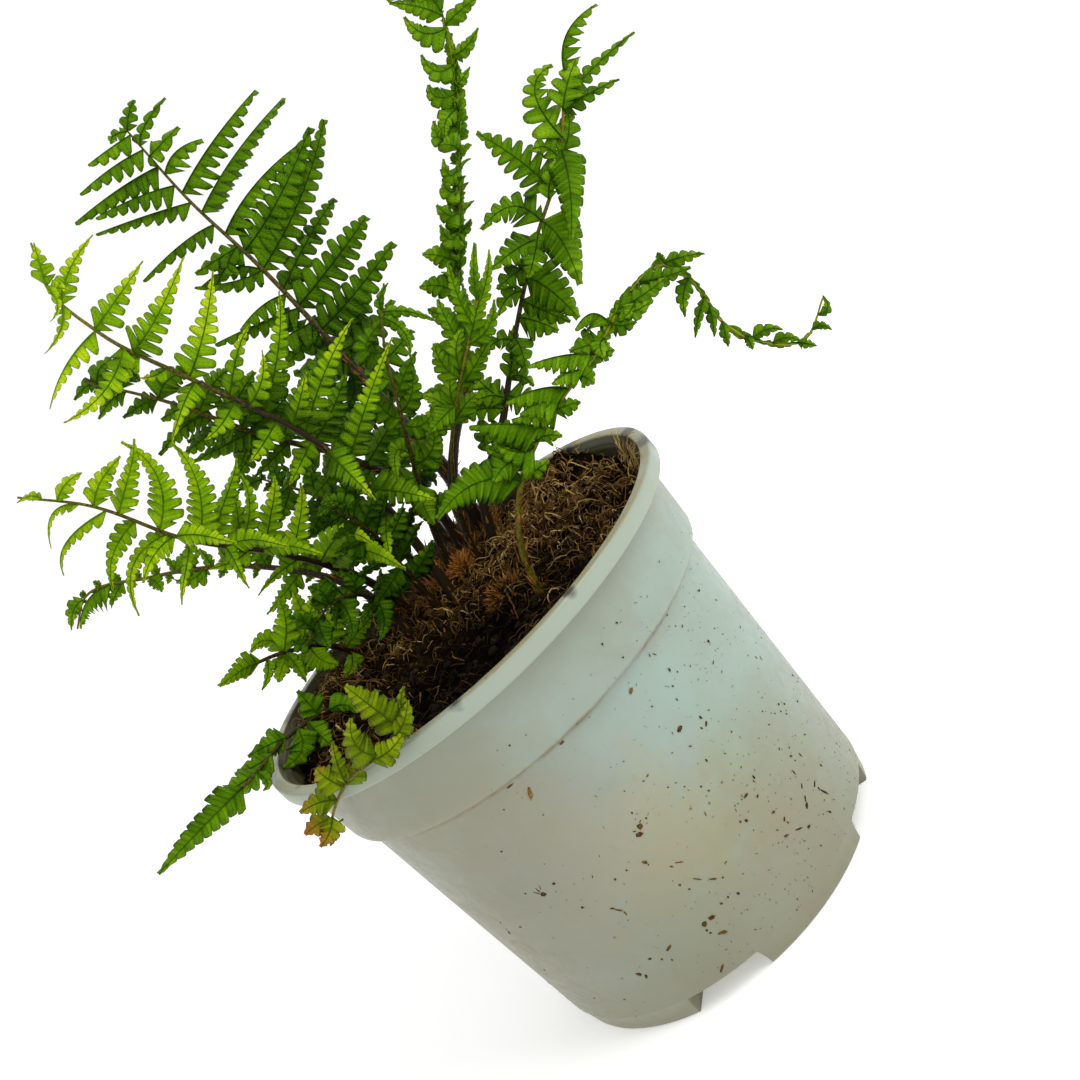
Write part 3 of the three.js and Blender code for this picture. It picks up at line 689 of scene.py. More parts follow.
def grow(name, seed, **given):
    """Midrib tube, leaflets and scales of one frond, as one piece. Returns its lobe count. The
    stalk's radius falls evenly to 0.35 mm and swells at the foot by a flat-topped bell curve."""
    spec = {**DEFAULTS, **given}
    random = np.random.default_rng(seed)
    path = smooth_path(spec["path"], 90)
    share = np.linspace(0, 1, len(path))
    ahead = unit(np.gradient(path, axis=0))
    side = np.asarray(spec["side"], float)
    side = unit(side - ahead * (ahead @ side)[:, None])
    blade = np.clip((share - spec["start"]) / (1 - spec["start"]), 0, 1)
    angle = np.radians(spec["twist"] * blade)[:, None]
    side_ways = side * np.cos(angle) + np.cross(ahead, side) * np.sin(angle)
    skin = Skin()
    radius = spec["stalk"] * (1 - share) + 0.35 + spec["swell"] * np.exp(-((share / 0.3) ** 4))
    rings = tube_rings(path[None], side_ways[None], radius[None], STALK_SIDES)
    tone = spec["stalk_foot"] + spec["stalk_tone"] * np.clip(2.4 * (share - spec["pale_from"]), 0, 1.5)
    skin.add(loft(rings), STALK, ring_values(tone[None], STALK_SIDES), 0.0, 0.5, 0.5)
    leaflets = picked_leaflets(path, LEAFLETS.get(name, []), spec, random) + wound_leaflets(path, spec)
    for hand in (1, -1) if spec["pairs"] else ():
        leaflets += regular_leaflets(path, side_ways, spec, hand, random)
    lobes = 0
    for leaflet in leaflets:
        shade = spec["inside"] * (1 - leaflet.where)
        rings, tone, across, along, part = blade_rings(leaflet, shade, spec, random)
        spread = leaflet.where + 0.5 * (part - 0.5) + 0.25 * np.abs(across - 0.5)
        skin.add(loft(rings[None]), LEAF, tone, spec["dry"] + spec["dry_tip"] * spread, across, along)
        lobes += 2 * (len(rings) // len(LOBE_STEPS))
    curves, facings, _, places = (np.array(values) for values in list(zip(*leaflets))[:4])
    rib_radius = np.repeat(np.linspace(0.3, 0.1, RIB_STATIONS)[None], len(curves), 0)
    rib = tube_rings(curves, np.repeat(facings[:, None], RIB_STATIONS, 1), rib_radius, RIB_SIDES)
    rib_tone = np.repeat(spec["tone"] - 0.2 - spec["inside"] * (1 - places), RIB_SIDES * RIB_STATIONS + 2)
    skin.add(loft(rib), LEAF, rib_tone, spec["dry"], 0.5, 0.5)
    scatter_scales(skin, path, radius, spec["scales"], spec["start"] + 0.05, spec["scale_size"], random)
    finishes = [spec["leaf"], stalk_finish, scale_finish]
    skin.piece(name.replace("frond_", "") + "_frond", finishes, [name])
    return lobes


print("a frond is made by grow(), from a path and its settings")

# %% [markdown]
# ## Where the leaflets are
# A plant is recognised by how its leaves hang, so the leaflets that can be seen were picked on
# the photograph, frond by frond. The hidden ones, inside the clump, follow a rule instead.

# %% Picked leaflets
# A row holds the pixels, across and down, of a leaflet's foot, middle and tip, then its half
# width (mm), which half of it shows (1, -1 or 0 for both), how far the tip comes forward (mm)
# and, where it differs from the rest of the frond, how deep its lobes are cut.
LEAFLETS = {
    "frond_tall_back": [
        (352, 366, 356, 328, 370, 284, 8, 0, -5), (318, 332, 300, 328, 286, 308, 6, 0, -9),
        (342, 354, 322, 345, 300, 350, 7, 0, -9), (350, 362, 325, 366, 294, 374, 7, 0, -10),
        (297, 309, 262, 322, 215, 344, 6.6, 1, -6), (262, 272, 232, 268, 200, 288, 5, 1, -5),
        (240, 254, 226, 268, 214, 292, 4.6, 0, -3), (126, 134, 129, 114, 134, 100, 3.8, 0, 2),
        (136, 150, 145, 126, 165, 98, 3.4, 0, 0), (146, 160, 156, 150, 178, 127, 5.4, 0, 2),
        (163, 176, 176, 152, 202, 139, 7, -1, 0), (183, 192, 212, 143, 255, 90, 7.6, -1, 0),
        (204, 210, 235, 155, 283, 98, 7.8, -1, 0), (227, 232, 255, 185, 303, 141, 8.2, -1, 0),
        (245, 250, 278, 200, 310, 128, 7.8, 0, 8), (262, 270, 301, 197, 324, 120, 6.8, 0, 4),
        (283, 290, 310, 236, 335, 199, 6.4, 0, -4), (297, 308, 336, 259, 366, 217, 8.4, 0, 10),
        (318, 332, 356, 292, 393, 243, 8, 0, 12), (340, 352, 372, 330, 392, 300, 7, 0, 0),
        (365, 382, 395, 350, 412, 330, 6.5, 0, -6), (124, 134, 114, 136, 112, 144, 2.8, 0, 2),
        (125, 140, 108, 150, 88, 165, 5.2, 1, 2), (137, 156, 112, 168, 80, 194, 6.4, 1, 3),
        (152, 172, 118, 190, 75, 223, 6.8, 1, 0), (170, 190, 136, 198, 96, 218, 6.2, 1, 6),
        (190, 204, 146, 216, 96, 234, 4.8, 1, 0), (213, 226, 182, 244, 143, 281, 5.6, 1, 0),
        (236, 250, 220, 258, 196, 274, 5, 0, 3), (228, 256, 228, 266, 240, 273, 3.6, 0, 6),
        (262, 270, 236, 281, 195, 287, 5.2, 1, 0), (285, 295, 262, 306, 240, 330, 6.6, 1, 0),
        (310, 325, 282, 340, 262, 360, 7.4, 1, 4), (340, 355, 318, 372, 300, 395, 7, 0, 0),
        (316, 326, 302, 346, 284, 368, 6.2, 0, 0),
    ],
    "frond_bright_left": [
        (46, 286, 40, 264, 34, 243, 5.4, 0, 3), (50, 290, 60, 288, 72, 292, 3.2, 0, 0),
        (64, 302, 70, 270, 93, 235, 5.6, 0, 2), (94, 330, 117, 299, 143, 261, 7, 0, 2),
        (133, 352, 157, 317, 184, 257, 8.2, 0, 3), (190, 378, 205, 328, 213, 271, 8.2, 0, 3),
        (230, 398, 238, 352, 250, 325, 4.6, 0, 6), (268, 408, 279, 345, 279, 291, 6.8, 0, 7),
        (308, 430, 325, 372, 353, 318, 7.6, 0, 8), (350, 466, 368, 400, 392, 338, 7.2, 0, 8),
        (45, 285, 58, 305, 50, 322, 2.4, 0, 0), (64, 304, 61, 330, 45, 354, 3, 0, 2),
        (95, 332, 66, 366, 50, 409, 5.6, 1, 3), (122, 350, 104, 392, 64, 423, 6.6, 0, 2),
        (140, 358, 122, 372, 116, 396, 5.6, 0, 4), (166, 370, 154, 376, 140, 378, 3.8, 0, 4),
        (196, 382, 184, 404, 170, 448, 6, 0, 6), (235, 402, 222, 424, 205, 440, 6.2, 0, 4),
        (275, 425, 262, 446, 250, 462, 6.2, 0, 2), (310, 442, 300, 465, 290, 485, 6.4, 0, 0),
        (325, 450, 350, 474, 376, 500, 7.6, 0, 10), (368, 488, 402, 492, 436, 500, 8.6, 0, 10),
        (388, 510, 386, 532, 392, 562, 6, 0, 12), (292, 428, 300, 400, 306, 372, 6.4, 0, 6),
        (250, 404, 262, 380, 262, 350, 5.6, 0, 2),
    ],
    "frond_dark_left": [
        (215, 412, 188, 424, 160, 455, 7, 0, 2), (252, 432, 228, 444, 193, 462, 5.5, 0, 2),
        (262, 440, 246, 452, 240, 478, 6, 0, 2), (98, 383, 102, 366, 120, 362, 4.4, 0, 2),
        (112, 385, 92, 384, 75, 400, 5, 0, 3), (118, 389, 128, 374, 140, 381, 5, 0, 3),
        (126, 393, 112, 400, 99, 419, 4.4, 0, 2), (160, 400, 168, 380, 192, 372, 7.4, 0, 3),
        (158, 400, 144, 404, 124, 418, 5.2, 0, 0), (205, 413, 186, 408, 162, 420, 7.2, 0, 4),
        (200, 410, 212, 386, 228, 370, 7.2, 0, 2), (238, 427, 212, 432, 188, 442, 6.2, 0, 2),
        (262, 435, 232, 444, 198, 460, 4.8, 0, 0), (225, 420, 238, 398, 254, 372, 8, 0, 4),
        (252, 431, 270, 402, 285, 370, 8.2, 0, 5), (280, 440, 298, 405, 318, 364, 8.4, 0, 5),
        (310, 448, 330, 415, 345, 376, 8.4, 0, 5), (338, 456, 358, 424, 374, 386, 8.2, 0, 4),
        (366, 466, 384, 436, 402, 404, 7.6, 0, 3), (290, 443, 274, 458, 255, 477, 4.6, 0, 0),
        (320, 450, 300, 466, 282, 490, 6, 0, 0), (350, 460, 330, 478, 312, 500, 6.4, 0, 0),
        (263, 435, 246, 462, 230, 488, 5.4, 0, 2), (222, 425, 202, 440, 184, 454, 5.4, 0, 2),
        (372, 468, 364, 480, 352, 488, 5, 0, 2), (240, 430, 250, 408, 256, 386, 6, 0, 2),
        (320, 450, 308, 430, 300, 408, 6.4, 0, 3),
    ],
    "frond_lower_left": [
        (243, 550, 238, 516, 236, 482, 5.6, 0, 3), (42, 494, 32, 496, 17, 501, 3, 0, 0),
        (58, 496, 68, 482, 84, 475, 4.6, 0, 2), (94, 507, 102, 480, 124, 459, 7, 0, 3),
        (118, 516, 128, 480, 140, 441, 7.4, 0, 3), (160, 530, 160, 482, 129, 440, 8.6, 0, 4),
        (200, 542, 200, 492, 180, 442, 9, 0, 5), (212, 544, 226, 498, 243, 461, 7.6, 0, 4),
        (240, 548, 250, 508, 242, 470, 6.2, 0, 5), (265, 552, 272, 510, 280, 478, 8, 0, 6),
        (292, 556, 300, 520, 306, 484, 7, 0, 3), (320, 563, 345, 534, 374, 551, 8, 0, 26),
        (330, 567, 366, 551, 404, 580, 8.8, 0, 36), (285, 555, 262, 538, 240, 560, 7.4, 0, 8),
        (80, 503, 53, 513, 48, 546, 3.6, 1, 2), (106, 514, 68, 540, 59, 572, 4.4, 1, 2),
        (135, 524, 115, 550, 108, 588, 6.2, 0, 3), (168, 534, 134, 564, 133, 613, 5, 0, 4),
        (190, 540, 186, 570, 177, 604, 3.8, 0, 5), (176, 536, 158, 550, 140, 580, 7, 0, 6),
        (225, 547, 236, 564, 246, 590, 4.2, 0, 4), (250, 552, 232, 562, 210, 566, 5.6, 0, 4),
        (300, 558, 280, 572, 256, 592, 4.2, 0, 0), (176, 536, 205, 536, 236, 548, 6, 0, 8),
        (226, 546, 256, 540, 288, 552, 6.4, 0, 9), (262, 553, 290, 546, 322, 560, 6.4, 0, 10),
    ],
    "frond_under_left": [
        (84, 600, 74, 610, 72, 630, 4, 0, 0), (112, 589, 88, 600, 80, 628, 7.6, 1, 2),
        (124, 586, 116, 594, 112, 608, 3.6, 0, 0), (150, 578, 158, 584, 162, 592, 3.6, 0, 0),
        (175, 574, 188, 562, 200, 548, 5.4, 0, -2), (205, 571, 190, 580, 172, 578, 4.8, 0, 0),
        (235, 569, 224, 556, 220, 540, 5.8, 0, -3), (270, 568, 258, 552, 250, 536, 6.2, 0, -4),
        (300, 573, 284, 594, 267, 614, 4.8, 0, 0), (330, 580, 318, 600, 300, 622, 6.6, 0, 0),
        (315, 577, 310, 556, 300, 536, 6.6, 0, -4), (345, 586, 342, 560, 350, 536, 6.6, 0, -6),
        (350, 588, 335, 612, 330, 640, 6.8, 0, 0),
    ],
    "frond_rim_back": [
        (290, 653, 282, 668, 279, 682, 5, 0, 2), (312, 648, 306, 662, 303, 678, 5, 0, 0),
        (318, 645, 306, 620, 294, 592, 8, 0, -2), (262, 664, 242, 670, 220, 686, 5.4, 0, 0),
        (288, 652, 266, 640, 251, 652, 5.6, 0, 3), (284, 652, 286, 622, 279, 600, 5.8, 0, 5),
        (302, 650, 308, 620, 318, 590, 6.2, 0, 2), (328, 648, 336, 620, 344, 596, 6.8, 0, 0),
        (268, 660, 268, 674, 262, 690, 2.8, 0, 0), (286, 653, 298, 668, 306, 682, 3.4, 0, 0),
        (310, 649, 322, 660, 338, 664, 6.4, 0, 4), (345, 650, 356, 634, 372, 620, 6.4, 0, 2),
        (350, 652, 352, 666, 344, 676, 5, 0, 3),
    ],
    "frond_over_rim": [
        (248, 790, 205, 825, 160, 873, 6.6, 0, 0), (262, 772, 240, 784, 215, 798, 5.6, 0, 0),
        (276, 756, 258, 764, 236, 774, 6, 0, 1), (290, 740, 270, 744, 249, 756, 6, 0, 2),
        (300, 730, 302, 750, 284, 768, 6.6, 0, 2), (322, 718, 312, 706, 298, 691, 6.6, 0, 2),
        (330, 712, 344, 704, 356, 712, 5, 0, 2), (262, 775, 268, 782, 264, 790, 2.6, 0, 0),
        (310, 724, 322, 736, 332, 744, 5.6, 0, 2),
    ],
    "frond_yellow_rim": [
        (412, 730, 402, 708, 404, 686, 3.8, 0, 0), (404, 731, 372, 706, 346, 686, 7, 0, 2),
        (394, 737, 404, 722, 408, 700, 4.2, 0, 2), (378, 756, 356, 744, 351, 718, 6.2, 0, 1),
        (372, 760, 390, 750, 404, 732, 5, 0, 0), (360, 770, 362, 752, 370, 738, 4.4, 0, 1),
        (348, 784, 338, 764, 333, 741, 4.2, 0, 1), (346, 788, 328, 778, 317, 768, 6.2, 0, 1),
        (348, 784, 356, 774, 354, 762, 5, 0, 1), (338, 800, 320, 802, 301, 812, 6.2, 0, 2),
        (333, 818, 318, 824, 306, 834, 6, 0, 2), (332, 822, 335, 832, 331, 845, 3.6, 0, 1),
        (333, 816, 330, 832, 321, 846, 5, 0, 1),
    ],
    "frond_twisted_tall": [
        (446, 16, 420, 8, 390, 4, 7, 0, 3), (444, 110, 446, 122, 446, 140, 6, 0, 3),
        (441, 12, 418, -8, 388, 2, 8, 0, 4), (440, 30, 424, 34, 405, 18, 8, 0, 5),
        (444, 26, 462, 10, 478, -2, 5.6, 0, 2), (446, 58, 466, 48, 478, 29, 5.4, 0, 3),
        (448, 66, 436, 72, 422, 56, 7.4, 0, 5), (452, 86, 462, 80, 470, 68, 4, 0, 2),
        (452, 94, 438, 98, 429, 86, 7.6, 0, 5), (456, 128, 442, 140, 434, 122, 7.8, 0, 5),
        (458, 150, 452, 146, 442, 146, 7.4, 0, 7), (459, 168, 450, 176, 444, 160, 7, 0, 7),
        (459, 190, 450, 192, 442, 182, 7.2, 0, 7), (459, 212, 450, 216, 437, 206, 7.4, 0, 6),
        (458, 232, 450, 240, 440, 226, 6.8, 0, 6), (457, 262, 440, 256, 423, 255, 7.4, 0, 4),
        (457, 292, 438, 286, 420, 288, 7.4, 0, 4), (460, 325, 442, 316, 428, 310, 6.6, 0, 4),
        (464, 372, 446, 352, 432, 350, 6.4, 0, 2), (462, 395, 440, 392, 420, 400, 6, 0, 0),
    ],
    "frond_tall_right": [
        (560, 158, 569, 132, 566, 104, 6.4, 0, 3), (558, 160, 546, 148, 530, 152, 5, 0, 0),
        (508, 380, 513, 352, 514, 326, 5, 0, 3), (500, 402, 487, 388, 474, 374, 7, 0, 0),
        (498, 408, 478, 410, 460, 424, 6.5, 0, -3), (503, 395, 522, 400, 540, 408, 7, 0, -3),
        (490, 425, 484, 436, 492, 456, 6, 0, -3), (563, 72, 567, 34, 596, 5, 6.2, -1, 0),
        (562, 105, 590, 72, 634, 33, 4.4, 0, 0), (564, 112, 590, 94, 619, 80, 4.2, 0, 2),
        (562, 110, 567, 86, 576, 60, 7.2, 0, 5), (562, 138, 535, 94, 552, 66, 7.2, 0, 0),
        (552, 190, 518, 160, 477, 134, 8.6, 0, 0), (549, 200, 552, 176, 566, 150, 4.2, 0, 4),
        (542, 222, 512, 207, 482, 230, 7.6, 0, 3), (542, 222, 562, 242, 580, 284, 9.6, 0, 8, 0.35),
        (561, 150, 570, 190, 571, 240, 6.8, 0, 8, 0.4), (536, 240, 516, 250, 491, 270, 7.2, 0, 4),
        (525, 292, 508, 298, 499, 316, 5.2, 0, 0), (526, 277, 552, 292, 578, 318, 9.6, 0, 4, 0.5),
        (519, 318, 538, 322, 558, 331, 8.2, 0, 2, 0.55), (514, 342, 500, 340, 486, 352, 4.8, 0, 0),
        (508, 380, 520, 376, 534, 386, 5.4, 0, 0), (505, 400, 490, 396, 470, 405, 6.4, 0, 0),
        (540, 232, 534, 258, 528, 278, 6.2, 0, 3), (522, 300, 546, 312, 570, 322, 6.5, 0, 2, 0.55),
        (530, 268, 512, 276, 498, 290, 6, 0, 3), (515, 338, 522, 352, 526, 372, 5.4, 0, 3),
    ],
    "frond_curved_right": [
        (536, 446, 512, 440, 478, 428, 8, 0, 2), (524, 470, 508, 458, 486, 448, 7, 0, 2),
        (562, 405, 540, 410, 512, 420, 8, 1, 1), (603, 345, 590, 345, 570, 352, 6, 0, 1),
        (642, 288, 634, 304, 624, 318, 5, 0, 4), (519, 480, 475, 484, 438, 519, 8.4, 0, 4, 0.3),
        (527, 462, 508, 464, 494, 482, 8.4, 0, 4), (545, 428, 512, 424, 470, 426, 9.6, 1, 2),
        (570, 388, 540, 389, 506, 402, 9.2, 1, 2), (594, 355, 562, 356, 528, 366, 7.4, 1, 2),
        (612, 326, 592, 314, 575, 330, 7.4, 1, 2), (622, 312, 642, 296, 666, 278, 5, 0, 3),
        (624, 300, 632, 312, 652, 300, 4.6, 0, 3), (535, 440, 546, 436, 562, 436, 4.6, 0, 3),
        (554, 412, 566, 406, 580, 402, 4.6, 0, 3), (578, 376, 586, 378, 594, 384, 4, 0, 3),
        (596, 352, 604, 352, 614, 350, 4, 0, 3), (612, 324, 622, 326, 636, 322, 4.2, 0, 3),
        (524, 470, 536, 470, 548, 460, 4.6, 0, 3), (532, 446, 520, 452, 498, 446, 7.4, 1, 4),
        (560, 400, 538, 404, 520, 414, 7, 1, 3), (583, 370, 566, 374, 552, 384, 5.6, 1, 3),
        (604, 338, 600, 346, 604, 358, 4.2, 0, 4), (646, 288, 662, 278, 690, 268, 4.6, 0, 4),
        (663, 264, 684, 257, 704, 254, 3.2, 0, 3), (665, 264, 660, 258, 657, 253, 1.8, 0, 3),
        (690, 278, 683, 296, 685, 317, 3.6, 0, 0), (702, 298, 698, 318, 695, 338, 2.4, 0, 0),
        (708, 304, 712, 320, 714, 337, 2.8, 0, 0), (722, 322, 725, 335, 728, 347, 2.6, 0, 0),
        (745, 336, 750, 344, 752, 350, 2, 0, 0), (752, 341, 766, 330, 782, 330, 2.8, 0, 2),
        (772, 345, 786, 338, 801, 342, 2.4, 0, 2), (796, 340, 806, 344, 816, 346, 2.4, 0, 2),
        (812, 330, 820, 326, 831, 330, 2.4, 0, 2), (822, 316, 827, 308, 822, 296, 2.2, 0, 2),
    ],
    "frond_spiky_middle": [
        (476, 300, 474, 275, 474, 243, 2.8, 0, 0), (476, 310, 486, 282, 489, 250, 3.2, 0, 2),
        (472, 325, 458, 296, 448, 262, 3.8, 0, 2), (466, 350, 450, 326, 438, 300, 5, 0, 3),
        (470, 345, 488, 328, 494, 300, 4, 0, 3), (462, 378, 444, 366, 434, 344, 5.4, 0, 4),
        (464, 372, 456, 350, 462, 330, 5.6, 0, 6), (462, 390, 476, 364, 488, 342, 5.6, 0, 4),
        (457, 415, 440, 402, 424, 396, 5.6, 0, 3), (455, 425, 466, 404, 478, 394, 5.6, 0, 2),
        (468, 340, 476, 314, 480, 292, 5, 0, 5), (456, 408, 450, 390, 452, 368, 5.6, 0, 6),
        (456, 405, 444, 416, 430, 432, 6, 0, 3),
    ],
    "frond_curled_middle": [
        (383, 310, 380, 298, 388, 283, 2.4, 0, 0), (384, 312, 410, 312, 438, 322, 2.8, 0, 0),
        (384, 318, 404, 332, 410, 356, 3, 0, 0), (386, 352, 366, 345, 392, 312, 7, 0, 0),
        (392, 380, 376, 372, 360, 350, 6.6, 0, 0), (400, 412, 412, 392, 410, 362, 5.4, 0, 4),
        (404, 425, 424, 424, 434, 404, 5.4, 0, 2), (402, 418, 384, 410, 372, 384, 6.6, 0, 0),
        (412, 455, 396, 452, 398, 482, 5.2, 0, 5), (414, 462, 434, 456, 438, 436, 4.8, 0, 2),
        (396, 398, 404, 376, 416, 352, 5, 0, 2), (418, 480, 404, 488, 386, 490, 6, 0, 2),
        (414, 466, 432, 450, 432, 428, 6, 0, 6), (412, 458, 438, 432, 468, 402, 5, 0, -4),
        (419, 484, 424, 506, 434, 524, 6.5, 0, 8), (417, 477, 388, 484, 358, 492, 6, 0, 4),
        (426, 506, 446, 500, 462, 486, 5, 0, -3),
    ],
    "frond_inner_back": [
        (334, 335, 322, 322, 306, 318, 5.6, 0, 0), (344, 356, 360, 340, 372, 318, 6.2, 0, 0),
        (352, 375, 332, 368, 312, 372, 6.6, 0, 0), (365, 402, 384, 388, 398, 372, 6.4, 0, 0),
        (376, 424, 352, 420, 334, 428, 6.6, 0, 0), (388, 445, 408, 436, 424, 440, 6, 0, 0),
        (400, 465, 380, 468, 358, 462, 6.4, 0, 0), (410, 482, 426, 476, 436, 486, 5.6, 0, 0),
        (338, 342, 332, 352, 328, 372, 5.8, 0, 2), (352, 374, 354, 392, 344, 412, 6, 0, 0),
    ],
    "frond_inner_low": [
        (262, 480, 250, 484, 238, 492, 4.6, 0, 0), (285, 486, 276, 474, 272, 456, 5.4, 0, 0),
        (290, 488, 286, 504, 280, 522, 5.8, 0, 0), (318, 497, 312, 480, 312, 462, 6, 0, 0),
        (325, 502, 318, 520, 310, 538, 6, 0, 0), (350, 518, 346, 496, 350, 474, 6.4, 0, 0),
        (356, 522, 348, 542, 340, 562, 6.2, 0, 0), (385, 538, 380, 510, 386, 488, 6.4, 0, 0),
        (395, 545, 362, 552, 340, 546, 6, 0, 0), (410, 562, 404, 584, 392, 604, 5.6, 0, 0),
    ],
    "frond_inner_front": [
        (334, 510, 326, 508, 318, 516, 4.6, 0, 0), (350, 520, 340, 502, 322, 504, 5, 0, 2),
        (362, 528, 372, 506, 388, 494, 5.8, 0, 2), (374, 535, 358, 546, 340, 550, 5.8, 0, 2),
        (385, 546, 396, 526, 404, 508, 5.8, 0, 2), (410, 578, 424, 560, 432, 540, 5.2, 0, 0),
        (402, 566, 388, 588, 374, 606, 5.4, 0, 3),
    ],
    "frond_low_front": [
        (308, 640, 300, 644, 292, 640, 4.4, 0, 0), (312, 630, 304, 622, 290, 618, 5, 0, 2),
        (318, 618, 322, 634, 330, 648, 5.4, 0, 2), (330, 606, 322, 592, 308, 588, 5.4, 0, 2),
        (340, 600, 350, 618, 352, 638, 5.6, 0, 2), (355, 599, 354, 582, 340, 570, 5.6, 0, 2),
        (375, 600, 384, 618, 380, 640, 5.6, 0, 2), (380, 604, 392, 590, 402, 588, 4.6, 0, 0),
    ],
}

print(sum(len(rows) for rows in LEAFLETS.values()), "picked leaflets")

# %% [markdown]
# ## The seventeen fronds
# Each frond has its own age and habit. The tall one at the back is flat and regular; the two at
# the left are bright and arch over; several are twisted or curled, as this fern does when it
# dries; the last two lie on the lip. The paths, in mm, are those of the CAD stalks, and
# the tall right one has one more point, which bends its end towards its last leaflets.

# %% The regular fronds
lobe_count = 0
lobe_count += grow(
    "frond_tall_back", 1, stalk=1.5, swell=1.5, inside=0.4, start=0.42, tone=0.45, scales=260,
    stalk_tone=0.3, lit=0.0, narrowing=0.55, cut=0.88, slant=0.24, lobe_gap=4.7, bunching=0.88,
    tip_tone=0.06, broad=1.16,
    path=[[23, 66, 126], [31, 68, 157], [33, 74, 192], [34, 84, 231], [34, 93, 265], [32, 100, 297],
          [33, 104, 332]], side=[1, -0.1, 0.15],
)
lobe_count += grow(
    "frond_bright_left", 2, stalk=1.3, pale_from=0.42, inside=0.9, start=0.34, tone=0.66,
    leaf=leaf_bright, slot="leaf_bright", stalk_tone=0.66, narrowing=1.0, cut=0.9, slant=0.26,
    lobe_gap=3.5, bunching=0.78, tip_tone=0.5,
    path=[[0, 34, 126], [5, 32, 165], [4, 26, 208], [-11, 12, 253], [-22, -2, 286], [-23, -10, 305],
          [-17, -15, 317]], side=[0.95, 0, 0.31],
)
lobe_count += grow(
    "frond_dark_left", 3, stalk=1.5, start=0.32, tone=0.66, stalk_tone=0.3, cut=0.6, ripple=0.2,
    lobe_gap=3.2, leaf=leaf_dark, slot="leaf_dark",
    path=[[13, 60, 126], [19, 57, 161], [9, 49, 193], [-8, 36, 223], [-23, 18, 255], [-36, 4, 277]],
    side=[0.9, 0.1, 0.43],
)
lobe_count += grow(
    "frond_lower_left", 4, stalk=1.1, pale_from=0.3, inside=0.42, start=0.3, tone=0.58,
    leaf=leaf_bright, slot="leaf_bright", stalk_tone=0.35, broad=0.78, narrowing=0.8, lobe_gap=3.0,
    tip_tone=0.2, bunching=0.85, hook=0.08, cut=0.55,
    path=[[-13, 58, 126], [-17, 50, 155], [-30, 30, 187], [-49, 6, 219], [-62, -12, 251],
          [-73, -20, 266]], side=[0.63, 0, 0.78],
)
lobe_count += grow(
    "frond_under_left", 5, stalk=1.3, start=0.26, tone=0.55, stalk_tone=0.35, cut=0.5, lobe_gap=3.0,
    ripple=0.25, pairs=16, reach=(9, 5), lean=(66, 66), curl=(1.0, 1.0), wild=0.8, crowding=1.0,
    lobe=3.6, dry=0.12, closing=0,
    path=[[-21, 52, 126], [-22, 57, 154], [-40, 66, 182], [-74, 72, 209], [-96, 70, 220],
          [-105, 68, 214]], side=[0.5, 0.1, 0.86],
)
lobe_count += grow(
    "frond_tall_right", 6, stalk=1.0, swell=0.8, pale_from=0.35, inside=0.3, start=0.36, tone=0.5,
    cut=0.84, lobe_gap=4.2, ripple=0.2, lift=1.2, broad=1.08, bunching=0.9, stalk_tone=0.7,
    path=[[22, 46, 126], [33, 44, 150], [57, 41, 167], [80, 37, 187], [105, 33, 206], [133, 28, 224],
          [151, 24, 244], [160.1, 22.9, 252.8], [172, 20, 254]], side=[-0.12, -0.1, 0.99],
)
print(lobe_count, "lobes so far")

# %% [markdown]
# ## Fronds that twist and curl
# When a wood fern runs dry, its blades roll up. One tall frond has become a rope, so two crossed
# blades wind round its stalk. Another ends in a rope, comes down outside the pot and hooks up.

# %% The twisted and curled fronds
lobe_count += grow(
    "frond_twisted_tall", 7, stalk=1.2, swell=0.8, start=0.3,
    wraps=((0.28, 0.5, 4.0, 420), (0.48, 0.74, 4.3, 560), (0.72, 0.93, 4.2, 330)), tone=0.5, cut=0.32,
    ripple=0.15, stalk_tone=0.6, lift=1.2, broad=0.8, pairs=24, reach=(9, 9), lean=(44, 44), twist=900,
    fold=34, lobe=3.9, curl=(2.2, 2.2), wild=0.5, forward=0.5, crowding=1.0,
    path=[[19, 56, 126], [26, 62, 153], [40, 65, 168], [59, 68, 181], [82, 72, 210], [108, 76, 236],
          [131, 80, 261], [147, 84, 286], [153, 86, 300]], side=[0.7, 0, -0.7],
)
lobe_count += grow(
    "frond_curved_right", 8, stalk=0.7, stalk_foot=0.35, swell=0.1, start=0.2, tone=0.44, cut=0.5,
    ripple=0.2, stalk_tone=0.6, lift=1.2, lobe_gap=3.2, broad=1.08,
    wraps=((0.42, 0.62, 3.4, 150), (0.6, 0.8, 2.0, 300), (0.78, 0.99, 1.7, 400)),
    path=[[21, -30, 126], [26, -32, 147], [38, -35, 163], [60, -39, 175], [85, -43, 181],
          [104, -43, 187], [119, -40, 186], [123, -38, 175], [123, -35, 158], [130, -33, 142],
          [143, -30, 133], [155, -30, 139]], side=[-0.79, 0, 0.62],
)
lobe_count += grow(
    "frond_spiky_middle", 9, stalk=0.6, start=0.26, tone=0.6, cut=0.45, stalk_tone=0.5, inside=0.2,
    slant=0.7, lobe_gap=3.0,
    path=[[14, 40, 126], [22, 34, 153], [37, 22, 178], [56, 12, 196], [74, 6, 210], [86, 2, 225]],
    side=[0.72, 0, -0.69],
)
lobe_count += grow(
    "frond_curled_middle", 10, stalk=0.9, start=0.3, tone=0.5, cut=0.45, ripple=0.25, stalk_tone=0.35,
    lobe_gap=3.2,
    path=[[3, 50, 126], [14, 46, 158], [31, 38, 193], [48, 32, 223], [58, 32, 233]],
    side=[0.72, 0, -0.69],
)
print(lobe_count, "lobes so far")
